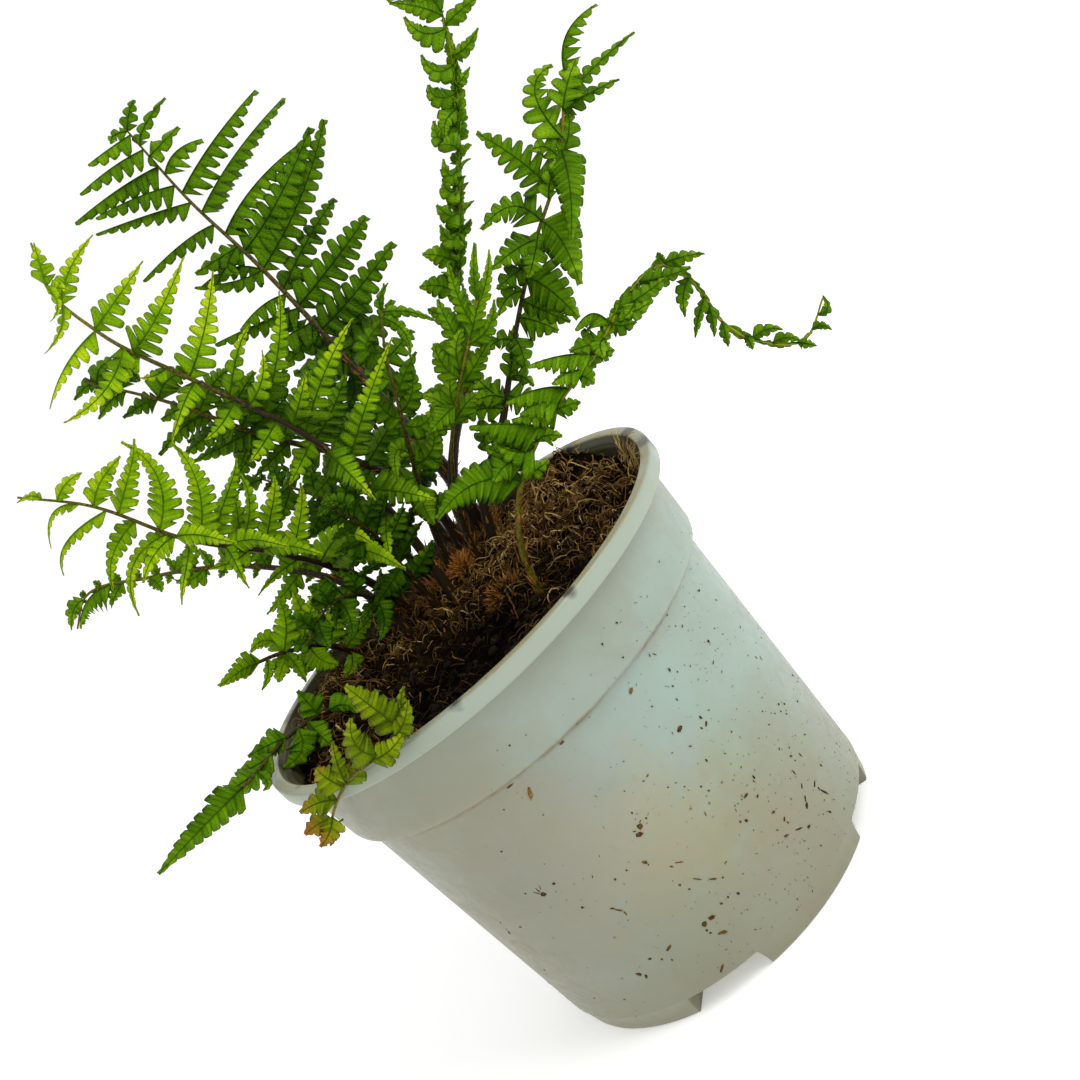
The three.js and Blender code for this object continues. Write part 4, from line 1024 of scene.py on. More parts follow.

# %% [markdown]
# ## Fronds inside the clump
# Only bits of the inner fronds show between the others. They are old, and their dark green is
# partly painted shade inside the clump. The leaflets that show were picked, and behind them these
# four follow the rule.

# %% The inner and low fronds
# The dark leaf finish of these fronds is partly painted shade inside the clump.
INNER = dict(
    leaf=leaf_dark, slot="leaf_dark", stalk_tone=0.2, tone=0.5, cut=0.55, ripple=0.2, wild=0.35,
    curl=(0.5, 0.5), lobe_gap=3.2,
)
lobe_count += grow(
    "frond_inner_back", 11, stalk=1.3, start=0.32, pairs=9, reach=(24, 22), lean=(70, 66),
    sag=(0.1, 0.2),
    path=[[11, 70, 126], [17, 77, 156], [26, 94, 194], [39, 104, 228]], side=[0.95, 0, -0.3], **INNER,
)
lobe_count += grow(
    "frond_inner_low", 12, stalk=1.2, start=0.3, pairs=8, reach=(22, 20), lean=(68, 64),
    sag=(0.1, 0.25),
    path=[[-3, 62, 126], [-1, 64, 156], [-10, 72, 189], [-21, 78, 208]], side=[0.9, 0, 0.3], **INNER,
)
lobe_count += grow(
    "frond_inner_front", 13, stalk=1.1, start=0.3, pairs=8, reach=(18, 17), lean=(66, 62),
    sag=(0.1, 0.25),
    path=[[-6, 38, 126], [-5, 30, 155], [-4, 20, 175], [-8, 6, 194]], side=[0.95, 0, 0.1], **INNER,
)
lobe_count += grow(
    "frond_low_front", 14, stalk=1.0, start=0.3, pairs=6, reach=(15, 14), lean=(64, 60),
    sag=(0.1, 0.25), scales=35,
    path=[[-20, 34, 126], [-19, 28, 155], [-28, 12, 168], [-38, 2, 170], [-45, -4, 168]],
    side=[0.4, 0, 0.9], **INNER,
)
print(lobe_count, "lobes so far")

# %% [markdown]
# ## Fronds at the rim
# Old fronds sink towards the lip. One leans out just above it, one lies over it at the left, and
# the yellow one lies along it and hangs down outside, with a dying tip.

# %% The fronds at the rim
lobe_count += grow(
    "frond_rim_back", 15, stalk=1.1, start=0.34, tone=0.42, scales=30, cut=0.42, leaf=leaf_bright,
    slot="leaf_bright", lobe_gap=2.8, stalk_tone=0.2,
    path=[[-37, 46, 126], [-40, 42, 146], [-53, 28, 163], [-69, 14, 173], [-76, 8, 176]],
    side=[0.6, -0.3, 0.75],
)
lobe_count += grow(
    "frond_over_rim", 16, stalk=0.6, start=0.24, tone=0.48, scales=25, cut=0.34, lobe_gap=4.0,
    ripple=0.28, lift=1.3, stalk_tone=0.3, bunching=0.9,
    path=[[-44, 18, 126], [-54, 14, 140], [-70, 4, 147.5], [-88, -9, 149.5], [-125, -26, 152]],
    side=[0.2, -0.2, 0.95],
)
lobe_count += grow(
    "frond_yellow_rim", 17, stalk=0.6, start=0.24, tone=0.42, scales=20, cut=0.4, dry_tip=1.2,
    dry=-0.62, lobe_gap=2.8, lift=1.2, stalk_tone=0.5, ripple=0.3, inside=0.3, leaf=leaf_yellow,
    slot="leaf_yellow",
    path=[[-33, -50, 126], [-34, -64, 140], [-38, -77, 147.5], [-47, -79, 147.5], [-56, -72, 146],
          [-65, -62, 141], [-73, -52, 134], [-80, -40, 125]], side=[0.2, -0.2, 0.95],
)
print(lobe_count, "lobes in all")

# %% [markdown]
# ## The pot
# A grower's pot is injection moulded: one thin wall with a stepped lip, a collar, a ledge and
# feet with drain pockets between them. It is a surface of revolution except at the feet, so it
# is made as a grid: the profile runs one way, the angle the other, and in each pocket the
# profile's foot is lifted.

# %% Pot profile
# Points of the profile, radius and height, from the foot up the outside and down the inside.
WALL, POCKET_RISE = 1.4, 8.2
POCKETS, FIRST_POCKET, POCKET_HALF = 5, -108.5, 12.5
OUTLINE = np.array([
    [65.8, 0.0], [66.6, 0.9], [67.0, 3.0], [68.1, 8.2], [68.35, 8.6], [68.4, 9.2], [70.3, 42], [72.3, 76],
    [74.1, 108.2], [74.5, 109.6], [75.6, 110.4], [76.9, 110.9], [77.6, 111.6], [77.95, 112.8], [78.2, 116],
    [78.9, 127], [79.5, 136.4], [79.9, 137.0], [84.3, 137.0], [84.8, 137.2], [85.0, 137.7], [85.0, 142.2],
    [84.8, 142.75], [84.3, 143.0], [81.4, 143.0], [80.9, 142.8], [80.7, 142.3], [80.65, 140.2],
    [80.4, 139.8], [79.0, 139.5], [78.4, 139.2], [78.2, 138.4], [76.8, 114], [76.2, 112], [73.4, 109.5],
    [72.9, 107], [66.8, 9.8],
])
FOOT, OUTER_WALL, WALL_TOP = OUTLINE[:4], OUTLINE[3:17], 137.0
UNDER = np.array([[46.0, 1.0], [45.2, 0.0], [30.0, 0.0], [0.5, 0.0]])
BOTTOM = np.array([[44.0, 1.0], [43.0, 0.0], [20.0, 0.0], [0.5, 0.0]])


def wall_radius(height):
    """Radius of the outside of the wall, straight between the points of the profile."""
    return np.interp(height, OUTER_WALL[:, 1], OUTER_WALL[:, 0])


def lifted(angle, spare):
    """1 inside a pocket, 0 outside, with a short rounded change, for angles in degrees."""
    step = 360 / POCKETS
    off = np.abs((angle - FIRST_POCKET + step / 2) % step - step / 2)
    return np.clip((POCKET_HALF + spare + 0.55 - off) / 1.1, 0, 1) ** 0.5


print("half way up, the wall has a radius of", round(float(wall_radius(RIM_HEIGHT / 2)), 1), "mm")

# %% Pot mesh
pockets = FIRST_POCKET + np.arange(POCKETS) * 360 / POCKETS
edges = np.array([-1, 1])[:, None] * (POCKET_HALF + np.linspace(-1.2, 2.8, 17))
near_edges = ((pockets[:, None] + edges.ravel()) % 360).ravel()
angles = np.unique(np.round(np.concatenate([np.arange(0, 360, 1.8), near_edges]), 3))
lift, lift_inside = lifted(angles, 0.0), lifted(angles, 1.5)
radius = np.repeat(OUTLINE[None, :, 0], len(angles), 0)
height = np.repeat(OUTLINE[None, :, 1], len(angles), 0)
foot_rows = OUTLINE[:, 1] < POCKET_RISE + 0.2
height[:, foot_rows] = np.maximum(height[:, foot_rows], (lift * POCKET_RISE)[:, None])
radius[:, foot_rows] = np.interp(height[:, foot_rows], FOOT[:, 1], FOOT[:, 0])
radius[:, foot_rows] -= lift[:, None] * 0.15 * np.arange(foot_rows.sum())[::-1]
under_height = UNDER[None, :, 1] * (lift * POCKET_RISE)[:, None]
bottom_height = WALL + BOTTOM[None, :, 1] * (lift_inside * POCKET_RISE)[:, None]
wide = np.ones((len(angles), 1))
radius = np.concatenate([wide * UNDER[::-1, 0], radius, wide * BOTTOM[:, 0]], 1)
height = np.concatenate([under_height[:, ::-1], height, bottom_height], 1)
last_wall = len(UNDER) + len(OUTLINE) - 1
height[:, last_wall] = WALL + lift_inside * POCKET_RISE + 0.2
radius[:, last_wall] = np.interp(height[:, last_wall], [0, 9.8], [65.2, 66.8])
around = np.radians(angles)[:, None]
out_of_round = radius + 0.25 * np.sin(2 * around + 0.6) * (height / RIM_HEIGHT) ** 2
rows = np.stack([out_of_round * np.cos(around), out_of_round * np.sin(around), height], -1)
pot_skin = Skin()
pot_skin.add(loft(rows.transpose(1, 0, 2)[None]), 0, 0.5, 0.0, 0.5, 0.5)
print("pot grid:", rows.shape[0], "by", rows.shape[1])

# %% [markdown]
# ## Pot plastic
# The plastic is a pale grey-green that handling and moisture have marked: khaki and blue-grey
# stains on the wall, a line of dirt under the collar, smudges along the lip and soil specks all
# over. Painted brown shade darkens the wall low down and at the left, painted shadow lies under
# the lip, and inside the lip dirt and painted shade darken it together. A stain is a round patch
# on the wall, worn away by noise. The dirt and painted shade of the mouldings follow height and
# distance from the pot's axis, as their steps do.


# %% Stains and painted shade on the wall
def patch(recipe, angle, height, spread, strength, out=71.0):
    """A round patch on the wall, at full strength within 0.45 of its spread and gone at it. Its
    middle lies out from the axis by so much, and the distance from it has noise added."""
    bearing = math.radians(angle)
    away = recipe.distance((out * math.cos(bearing), out * math.sin(bearing), height))
    ragged = recipe.between(recipe.noise(45, 5, 0.62), 0.3, 0.7, -0.4 * spread * MM, 0.4 * spread * MM)
    away = recipe.calc("ADD", away, ragged)
    return recipe.between(away, 0.45 * spread * MM, spread * MM, strength, 0)


# Angle, height, spread, strength and colour of each stain.
STAINS = (
    (-90, 56, 36, 0.65, (146, 142, 104)), (-62, 50, 34, 0.45, (132, 132, 104)),
    (-140, 62, 50, 0.4, (132, 130, 116)), (-70, 18, 36, 0.35, (140, 132, 112)),
    (-40, 92, 52, 0.5, (140, 164, 152)), (-112, 88, 34, 0.45, (142, 142, 134)),
    (60, 50, 40, 0.4, (134, 136, 110)), (140, 80, 45, 0.35, (130, 134, 112)),
    (-100, 34, 20, 0.4, (132, 146, 132)), (-78, 94, 24, 0.4, (140, 160, 152)),
    (-102, 66, 36, 0.5, (146, 144, 124)), (-120, 122, 40, 0.5, (136, 134, 112)),
)
plastic = Recipe("pot_plastic")
clean = [(0.3, colour(130, 138, 122)), (0.5, colour(137, 148, 135)), (0.7, colour(142, 158, 148))]
tint = plastic.ramp(plastic.noise(14, 4, 0.6), clean)
for *stain, stain_colour in STAINS:
    tint = plastic.mix(patch(plastic, *stain), tint, colour(*stain_colour))
x, y, z = plastic.split(plastic.here())
from_axis = plastic.calc("SQRT", plastic.calc("ADD", plastic.times(x, x), plastic.times(y, y)))
# Painted shade: the wall turns darker and browner towards the foot and towards the left side.
painted_shade_low_left = plastic.calc(
    "MAXIMUM", plastic.between(z, 0.075, 0.0, 0.0, 0.6), plastic.between(x, -0.005, -0.075, 0.0, 0.55))
tint = plastic.mix(painted_shade_low_left, tint, colour(118, 106, 68))
print(len(STAINS), "stains on the wall")

# %% Dirt and painted shadow on the mouldings
# Painted shadow under the lip: the wall darkens towards the lip's underside.
painted_shadow_under_lip = plastic.times(plastic.between(z, 0.124, 0.1366, 0.0, 0.4),
                          plastic.between(from_axis, 0.0802, 0.0806, 1.0, 0.0))
tint = plastic.mix(painted_shadow_under_lip, tint, colour(122, 122, 104))
ledge = plastic.times(plastic.between(z, 0.1084, 0.1096), plastic.between(z, 0.1122, 0.1108))
ledge = plastic.times(ledge, plastic.between(plastic.noise(52, 4, 0.6), 0.42, 0.6, 0.15, 0.9))
tint = plastic.mix(ledge, tint, colour(112, 94, 60))
tint = plastic.mix(plastic.between(z, 0.1367, 0.137, 0.0, 0.6), tint, colour(152, 163, 146))
crest = plastic.times(plastic.between(from_axis, 0.0848, 0.0842), plastic.between(z, 0.1412, 0.1424))
smudge = plastic.between(plastic.noise(60, 4, 0.6), 0.36, 0.6, 0.4, 1.0)
tint = plastic.mix(plastic.times(crest, smudge), tint, colour(142, 136, 102))
soiled = plastic.between(plastic.noise(34, 5, 0.7), 0.55, 0.63, 0.0, 0.85)
tint = plastic.mix(plastic.times(crest, soiled), tint, colour(74, 68, 46))
for angle, spread in ((2, 5), (-13, 6), (-72, 3), (-104, 4), (33, 5)):
    tint = plastic.mix(patch(plastic, angle, RIM_HEIGHT, spread, 0.9, 83.0), tint, colour(48, 46, 30))
# Under the lip the darkening is painted shadow; on the ledge and the crest it is dirt.
print("dirt on the ledge, under the lip and on its crest")

# %% Dirt and painted shade inside the lip
# Dirt and painted shade together: the lip's inner face, the shelf below it and the inner wall are painted
# dark brown.
inside_lip = plastic.times(plastic.between(from_axis, 0.0811, 0.0808, 0.0, 0.8),
                           plastic.between(z, 0.1375, 0.138))
tint = plastic.mix(inside_lip, tint, colour(78, 72, 48))
off_slope = plastic.calc("SUBTRACT", from_axis, plastic.times(z, 0.0637))
inner_wall = plastic.times(plastic.between(off_slope, 0.0704, 0.07, 0.0, 0.95),
                           plastic.between(z, 0.112, 0.12))
shelf = plastic.times(plastic.between(from_axis, 0.0806, 0.0804, 0.0, 0.9),
                      plastic.between(z, 0.138, 0.1385))
within = plastic.calc("MAXIMUM", inner_wall, shelf)
tint = plastic.mix(within, tint, colour(58, 54, 34))
shaded_and_dirty = plastic.calc("MAXIMUM", within, inside_lip)
plastic.look("Specular IOR Level", plastic.between(shaded_and_dirty, 0.0, 0.8, 0.5, 0.02))
print("the lip's inside is as dirty as the mix it meets")

# %% Specks, scuffs and gloss
specks = plastic.node("ShaderNodeTexVoronoi")
specks.inputs["Scale"].default_value = 170
plastic.join(plastic.here(), specks.inputs["Vector"])
dot = plastic.between(specks.outputs["Distance"], 0.06, 0.12, 0.8, 0.0)
dot = plastic.times(dot, plastic.between(plastic.noise(24, 3), 0.52, 0.62))
tint = plastic.mix(dot, tint, colour(70, 64, 48))
scuff = plastic.noise(120, 6, 0.7, 1.5)
tint = plastic.mix(plastic.between(scuff, 0.62, 0.72, 0.0, 0.3), tint, colour(120, 124, 104))
plastic.look("Base Color", tint)
plastic.look("Roughness", plastic.between(scuff, 0.35, 0.7, 0.32, 0.52))
plastic.bump(plastic.noise(260, 5, 0.6), 0.06, 0.5)
pot_skin.piece("moulded_pot", [plastic.done()], ["nursery_pot"])

# %% [markdown]
# ## The potting mix
# Coir and peat settle into clods with dark gaps between, and the coir's fibres stick out of it
# in every direction. The body of the mix is one grid: four sizes of noise on a level that is
# heaped or hollow in places. Crumbs and fibres are separate shapes lying on that same ground,
# so their feet follow its height.

# %% Ground height
SOIL_LEVEL, SOIL_RADIUS = 133.6, 77.3
ground_random = np.random.default_rng(40)
# Cell size, depth and random numbers of each lattice.
LATTICES = [(13.0, 1.7, ground_random.random((40, 40))), (5.0, 1.9, ground_random.random((60, 60))),
            (2.1, 1.0, ground_random.random((120, 120))), (0.9, 0.35, ground_random.random((260, 260)))]
# Place, spread and rise of each heap and hollow.
HEAPS = [(66, 44, 13, 8.0), (30, 20, 24, 1.8), (-5, -44, 24, -2.6), (-38, -8, 16, -1.0), (-62, 38, 15, 6.0)]


def ground(x, y):
    """Height of the mix. For each size, random numbers on a square lattice are blended with a
    smooth step between neighbours; the sizes add up. The mix rises a little at the wall, and it
    is heaped or hollow at five places, each a bell curve."""
    total = np.full(np.shape(x), SOIL_LEVEL) + 1.2 * (np.hypot(x, y) / SOIL_RADIUS) ** 4
    for heap_x, heap_y, spread, rise in HEAPS:
        total = total + rise * np.exp(-((x - heap_x) ** 2 + (y - heap_y) ** 2) / (2 * spread**2))
    for cell, depth, lattice in LATTICES:
        u, v = (np.asarray(x) + 100) / cell, (np.asarray(y) + 100) / cell
        i, j = np.floor(u).astype(int), np.floor(v).astype(int)
        a, b = u - i, v - j
        a, b = a * a * (3 - 2 * a), b * b * (3 - 2 * b)
        size = len(lattice)
        i, j, k, m = i % size, j % size, (i + 1) % size, (j + 1) % size
        near = lattice[i, j] * (1 - a) + lattice[k, j] * a
        far = lattice[i, m] * (1 - a) + lattice[k, m] * a
        total = total + depth * 2 * (near * (1 - b) + far * b - 0.5)
    return total


print("the mix is", round(float(ground(0.0, 0.0)), 1), "mm high at its middle")

# %% Mix and fibre finishes
# Middle of the painted shadow that the near rim casts on the mix.
RIM_SHADOW_MIDDLE = (-14.0, -42.0, 134.0)
recipe = Recipe("mix")
clods = [(0.3, colour(4, 3, 1)), (0.5, colour(17, 11, 5)), (0.72, colour(54, 38, 18))]
# Painted shadow of the near rim: the mix turns nearly black round the hollow at the near side.
rim_shadow = recipe.between(recipe.distance(RIM_SHADOW_MIDDLE), 22 * MM, 52 * MM, 0.8, 0.0)
recipe.look("Base Color", recipe.mix(rim_shadow, recipe.ramp(recipe.noise(160, 6, 0.7), clods), colour(2, 1, 1)))
recipe.bump(recipe.noise(700, 6, 0.7), 0.8, 1.0)
mix_finish = recipe.done(Roughness=1.0, Specular_IOR_Level=0.02)

recipe = Recipe("fibres")
husk = [(0.0, colour(16, 10, 4)), (0.35, colour(74, 50, 20)), (0.65, colour(128, 96, 46)),
        (1.0, colour(196, 168, 104))]
streak = recipe.between(recipe.noise(900, 3), 0.3, 0.7, -0.12, 0.12)
recipe.look("Base Color", recipe.ramp(recipe.calc("ADD", recipe.named("tone"), streak), husk))
fibre_finish = recipe.done(Roughness=0.85, Specular_IOR_Level=0.08)
# Round this point the mix is darkest, with painted shadow.
print("the mix is wettest round", RIM_SHADOW_MIDDLE)

# %% Body of the mix
# The sides run from the pot's bottom up its inner wall, as radius and height.
PLUG_SIDES = np.array([[3.0, 10.0], [64.5, 10.0], [66.2, 12.0], [72.6, 108.8], [75.9, 113.4], [77.2, 128.0]])
angle = np.linspace(0, math.tau, 230, endpoint=False)
reach = np.linspace(1, 0.004, 76)[:, None] ** 0.85 * SOIL_RADIUS
x, y = reach * np.cos(angle), reach * np.sin(angle)
top = np.stack([x, y, ground(x, y)], -1)
radius, height = PLUG_SIDES[:, :1], PLUG_SIDES[:, 1:]
low = np.stack([radius * np.cos(angle), radius * np.sin(angle), height + 0 * angle], -1)
skin = Skin()
skin.add(loft(np.concatenate([low, top])[None]), 0, 0.5, 0.0, 0.5, 0.5)
skin.piece("mix_body", [mix_finish], ["potting_mix"])

# %% [markdown]
# ## Crumbs, fibres and roots
# What lies loose on the mix is thousands of little shapes. Each is a clod or a strand of a few
# rings, strewn at random but more on high ground, because the hollows of the real mix are dark
# and bare. Their colour is painted darker in the hollow at the near side, as shadow of the near
# rim, and lighter on the heap at the far right.

# %% Crumbs
UP = np.array([0.0, 0.0, 1.0])
CLOD_LEVELS, CLOD_WIDTHS = np.array([-0.55, 0.1, 0.65]), np.array([0.8, 1.0, 0.6])
CLOD_CORNERS = 5
CLOD_POINTS = len(CLOD_LEVELS) * CLOD_CORNERS + 2
CRUMB_COUNT = 1500
random = np.random.default_rng(41)


def strewn(count, within):
    """Places over a disc: the radius is the square root of a random number. More places than
    wanted are drawn, and those on high ground are kept first, so that the hollows stay bare."""
    bearing, out = random.random(count * 3) * math.tau, within * np.sqrt(random.random(count * 3))
    x, y = out * np.cos(bearing), out * np.sin(bearing)
    kept = np.argsort(random.normal(0, 3.2, count * 3) - np.minimum(ground(x, y), SOIL_LEVEL + 2))[:count]
    return x[kept], y[kept]


def painted_shade(points):
    """How much darker the mix is painted at a point: most in the hollow at the near side of the pot,
    as painted shadow of the near rim, and less than nothing, so lighter, on the heap at the far
    right. Both are bell curves."""
    hollow = 0.66 * np.exp(-((points[:, 0] + 14) ** 2 + (points[:, 1] + 42) ** 2) / 1900)
    return hollow - 0.16 * np.exp(-((points[:, 0] - 52) ** 2 + (points[:, 1] - 34) ** 2) / 1600)


def lumps(x, y, z, size):
    """Small clods: rings of five points, pulled in and out at random and flattened."""
    x, y, z, size = (values[:, None, None] for values in (x, y, z, size))
    corner = np.arange(CLOD_CORNERS) * math.tau / CLOD_CORNERS + x
    pulled = random.uniform(0.65, 1.3, (len(x), len(CLOD_LEVELS), CLOD_CORNERS))
    out = CLOD_WIDTHS[:, None] * pulled * size
    tilt = random.uniform(-0.2, 0.2, (len(x), len(CLOD_LEVELS), CLOD_CORNERS))
    level = (CLOD_LEVELS[:, None] + tilt) * 0.8 * size
    return np.stack([x + out * np.cos(corner), y + out * np.sin(corner), z + level], -1)


x, y = strewn(CRUMB_COUNT, 75.5)
size = 0.5 + 1.7 * random.random(CRUMB_COUNT) ** 2.5
tones = np.clip(random.normal(0.16, 0.16, CRUMB_COUNT) - painted_shade(np.stack([x, y], 1)), 0, 1)
skin = Skin()
crumbs = lumps(x, y, ground(x, y) + 0.3 * size, size)
skin.add(loft(crumbs), 0, np.repeat(tones, CLOD_POINTS), 0.0, 0.5, 0.5)
skin.piece("mix_crumbs", [fibre_finish])

# %% Coir fibres and roots
HINT = np.array([0.2, 0.1, 1.0])


def strands(count, within, length, lift, radius, stations, bend):
    """Loose strands lying on the mix. The heading turns steadily by the bend and wanders, the
    height follows the ground plus an arch, and the first end dips into the mix."""
    x, y = strewn(count, within)
    u = np.linspace(0, 1, stations)
    size = random.uniform(*length, count)[:, None]
    heading = random.random(count)[:, None] * math.tau + random.normal(0, bend, count)[:, None] * u
    wander = random.normal(0, 0.32, (count, 1))
    heading = heading + wander * np.sin(math.tau * u + random.random((count, 1)) * 6)
    x = x[:, None] + np.cumsum(np.cos(heading), 1) * size / stations
    y = y[:, None] + np.cumsum(np.sin(heading), 1) * size / stations
    pull = np.minimum(1, within / np.maximum(np.hypot(x, y), 1e-6))
    x, y = x * pull, y * pull
    arch = random.uniform(*lift, count)[:, None] * np.sin(math.pi * u * random.uniform(0.6, 1.0, (count, 1)))
    path = np.stack([x, y, ground(x, y) + 0.3 + arch - 0.8 * (1 - u) ** 6], -1)
    return path, random.uniform(*radius, count)[:, None] * (1 - 0.6 * u)


def add_strands(skin, path, radii, sides, tone, spread, darker=0.0):
    """Tubes along strands, each with its own tone round a middle one."""
    count, stations = radii.shape
    tones = np.clip(random.normal(tone, spread, count) - darker, 0, 1)
    tones = np.repeat(tones, stations * sides + 2)
    skin.add(loft(tube_rings(path, HINT, radii, sides)), 0, tones, 0.0, 0.5, 0.5)


skin = Skin()
for count, length, lift, thick, stations, bend, tone in (
    (2300, (2.5, 9), (0.2, 3.2), (0.14, 0.42), 7, 0.8, 0.42),
    (420, (6, 16), (0.5, 5.0), (0.14, 0.32), 10, 1.6, 0.5),
):
    path, radii = strands(count, 76.0, length, lift, thick, stations, bend)
    add_strands(skin, path, radii, 3, tone, 0.26, painted_shade(path[:, 0]))
skin.piece("coir_fibres", [fibre_finish])

skin = Skin()
add_strands(skin, *strands(44, 75.0, (10, 30), (0.4, 3.0), (0.26, 0.5), 14, 2.0), 6, 0.34, 0.16)
skin.piece("mix_roots", [fibre_finish])

# %% [markdown]
# ## Wisps over the lip
# When a pot is filled, wisps of dry coir stay hanging over its lip. Here they hang at the right
# and at the far right. Each runs outwards, and its height is read off the step inside the lip,
# so it lies on the plastic and arches a little between.

# %% Wisps over the lip
WISP_COUNT = 48
STEP_OUT, STEP_UP = [74, 77.4, 78.4, 80.2, 80.9, 85], [134.5, 136.5, 140.0, 141.0, 143.4, 143.4]
u = np.linspace(0, 1, 9)
bearing = np.radians(np.concatenate([random.normal(-5, 6, 34), random.normal(36, 6, 14)]))[:, None]
bearing = bearing + random.normal(0, 0.08, (WISP_COUNT, 1)) * u
bearing = bearing + random.normal(0, 0.02, (WISP_COUNT, 1)) * np.sin(6 * u)
out = random.uniform(74, 77, (WISP_COUNT, 1)) + random.uniform(2, 8, (WISP_COUNT, 1)) * u
level = np.interp(out, STEP_OUT, STEP_UP) + 0.2
level = level + random.uniform(0.2, 1.8, (WISP_COUNT, 1)) * np.sin(math.pi * u)
path = np.stack([out * np.cos(bearing), out * np.sin(bearing), level], -1)
radii = random.uniform(0.14, 0.3, (WISP_COUNT, 1)) * (1 - 0.6 * u)
skin = Skin()
add_strands(skin, path, radii, 4, 0.86, 0.12)
skin.piece("rim_fibres", [fibre_finish])

# %% [markdown]
# ## Wood chips
# Growers mix a little bark and wood into the coir. The chips are flat and pointed like the
# plant's scales, so the same shape serves for both. Three lie in the hollow at the near side, where they
# show.

# %% Chips
CHIP_COUNT = 420
x, y = strewn(CHIP_COUNT, 74.0)
x[:3], y[:3] = (-17.0, -14.0, 6.0), (-39.0, -46.0, -36.0)
heading = random.random(CHIP_COUNT) * math.tau
ahead = unit(np.stack([np.cos(heading), np.sin(heading), random.normal(0, 0.3, CHIP_COUNT)], 1))
across = unit(np.cross(ahead, UP + random.normal(0, 0.3, (CHIP_COUNT, 3))))
length = random.uniform(2.0, 6.5, CHIP_COUNT)
foot = np.stack([x, y, ground(x, y) + 1.0], 1)
chips = scale_rings(foot, ahead, across, length, length * random.uniform(0.12, 0.32, CHIP_COUNT))
tones = np.clip(random.normal(0.58, 0.2, CHIP_COUNT) - painted_shade(foot), 0, 1)
skin = Skin()
skin.add(loft(chips), 0, np.repeat(tones, SCALE_POINTS), 0.0, 0.5, 0.5)
skin.piece("wood_chips", [fibre_finish])

# %% [markdown]
# ## Rootstock, bud and crozier
# Wood ferns rise from a stout crown covered in papery brown scales, and each young frond comes
# up rolled like a watch spring in the same scales. A dark core sits where the CAD dome is, and
# hundreds of pointed scales stand on it, longest and palest in the tuft at its middle.


# %% Scaly domes
def dome(centre, radii, name, count, length, tone, node, seed):
    """A core on the CAD dome and scales standing on its upper half. A place on the dome is its
    centre plus the radii times a unit vector, and the scale leans from that vector upward."""
    random = np.random.default_rng(seed)
    centre, radii = np.asarray(centre, float), np.asarray(radii, float)
    bearing = np.linspace(0, math.tau, 28, endpoint=False)
    level = np.linspace(-0.49, 0.49, 14)[:, None] * math.pi
    ball = [np.cos(level) * np.cos(bearing), np.cos(level) * np.sin(bearing), np.sin(level) + 0 * bearing]
    bumpy = 1 + 0.05 * np.sin(5 * bearing + 9 * level)
    core = centre + radii * 0.94 * np.stack(ball, -1) * bumpy[..., None]
    skin = Skin()
    skin.add(loft(core[None]), 0, 0.05, 0.0, 0.5, 0.5)
    way = unit(random.normal(size=(count, 3)))
    way[:, 2] = np.abs(way[:, 2]) ** 0.7
    way = unit(way)
    foot = centre + radii * 0.93 * way
    lean = unit(way * np.array([1, 1, 0.8]) + random.normal(0, 0.35, (count, 3)) + [0, 0, 0.35])
    across = unit(np.cross(lean, random.normal(size=(count, 3))))
    size = length * random.uniform(0.45, 1.2, count)
    rings = scale_rings(foot, lean, across, size, size * random.uniform(0.08, 0.18, count) + 0.3)
    tones = np.clip(random.normal(tone, 0.24, count), 0, 1)
    skin.add(loft(rings), 1, np.repeat(tones, SCALE_POINTS), 0.0, 0.5, 0.5)
    skin.piece(name, [stalk_finish, scale_finish], [node] if node else [])


dome([9, 57, 129], [20, 13, 8], "scaly_rootstock", 900, 7.5, 0.24, "rootstock", 50)
dome([11, 46, 135], [3.4, 3.4, 4.0], "crown_tuft", 240, 4.6, 0.85, None, 53)
dome([15, -5, 131], [7, 6, 5], "scaly_bud", 420, 4.4, 0.34, "side_bud", 51)

# %% [markdown]
# ## The young frond
# A young frond stays rolled up until its stalk is tall. The stalk goes up into a coil of three
# quarters of a turn that tightens evenly, and it thickens a little within the coil.

# %% The crozier
CROZIER_STALK = [[27, 52, 126], [31, 55, 138], [36, 60, 149]]
COIL_MIDDLE = (40.2, 61.5, 152.2)
coil_turn = math.pi * (0.9 - 0.22 * np.arange(8))
coil_reach = 4.6 - 0.28 * np.arange(8)
coil = np.stack([np.cos(coil_turn), 0 * coil_turn, np.sin(coil_turn)], 1) * coil_reach[:, None] + COIL_MIDDLE
path = smooth_path(np.vstack([CROZIER_STALK, coil]), 60)
share = np.linspace(0, 1, 60)
radius = 2.0 - 0.9 * share + 0.35 * np.exp(-(((share - 0.75) / 0.2) ** 2))
skin = Skin()
skin.add(loft(tube_rings(path[None], np.array([0.1, 1.0, 0.1]), radius[None], 10)), 0, 0.2, 0.0, 0.5, 0.5)
scatter_scales(skin, path, radius, 520, 1.0, 4.2, np.random.default_rng(52), 1, 0.62)
skin.piece("rolled_frond", [stalk_finish, scale_finish], ["crozier"])
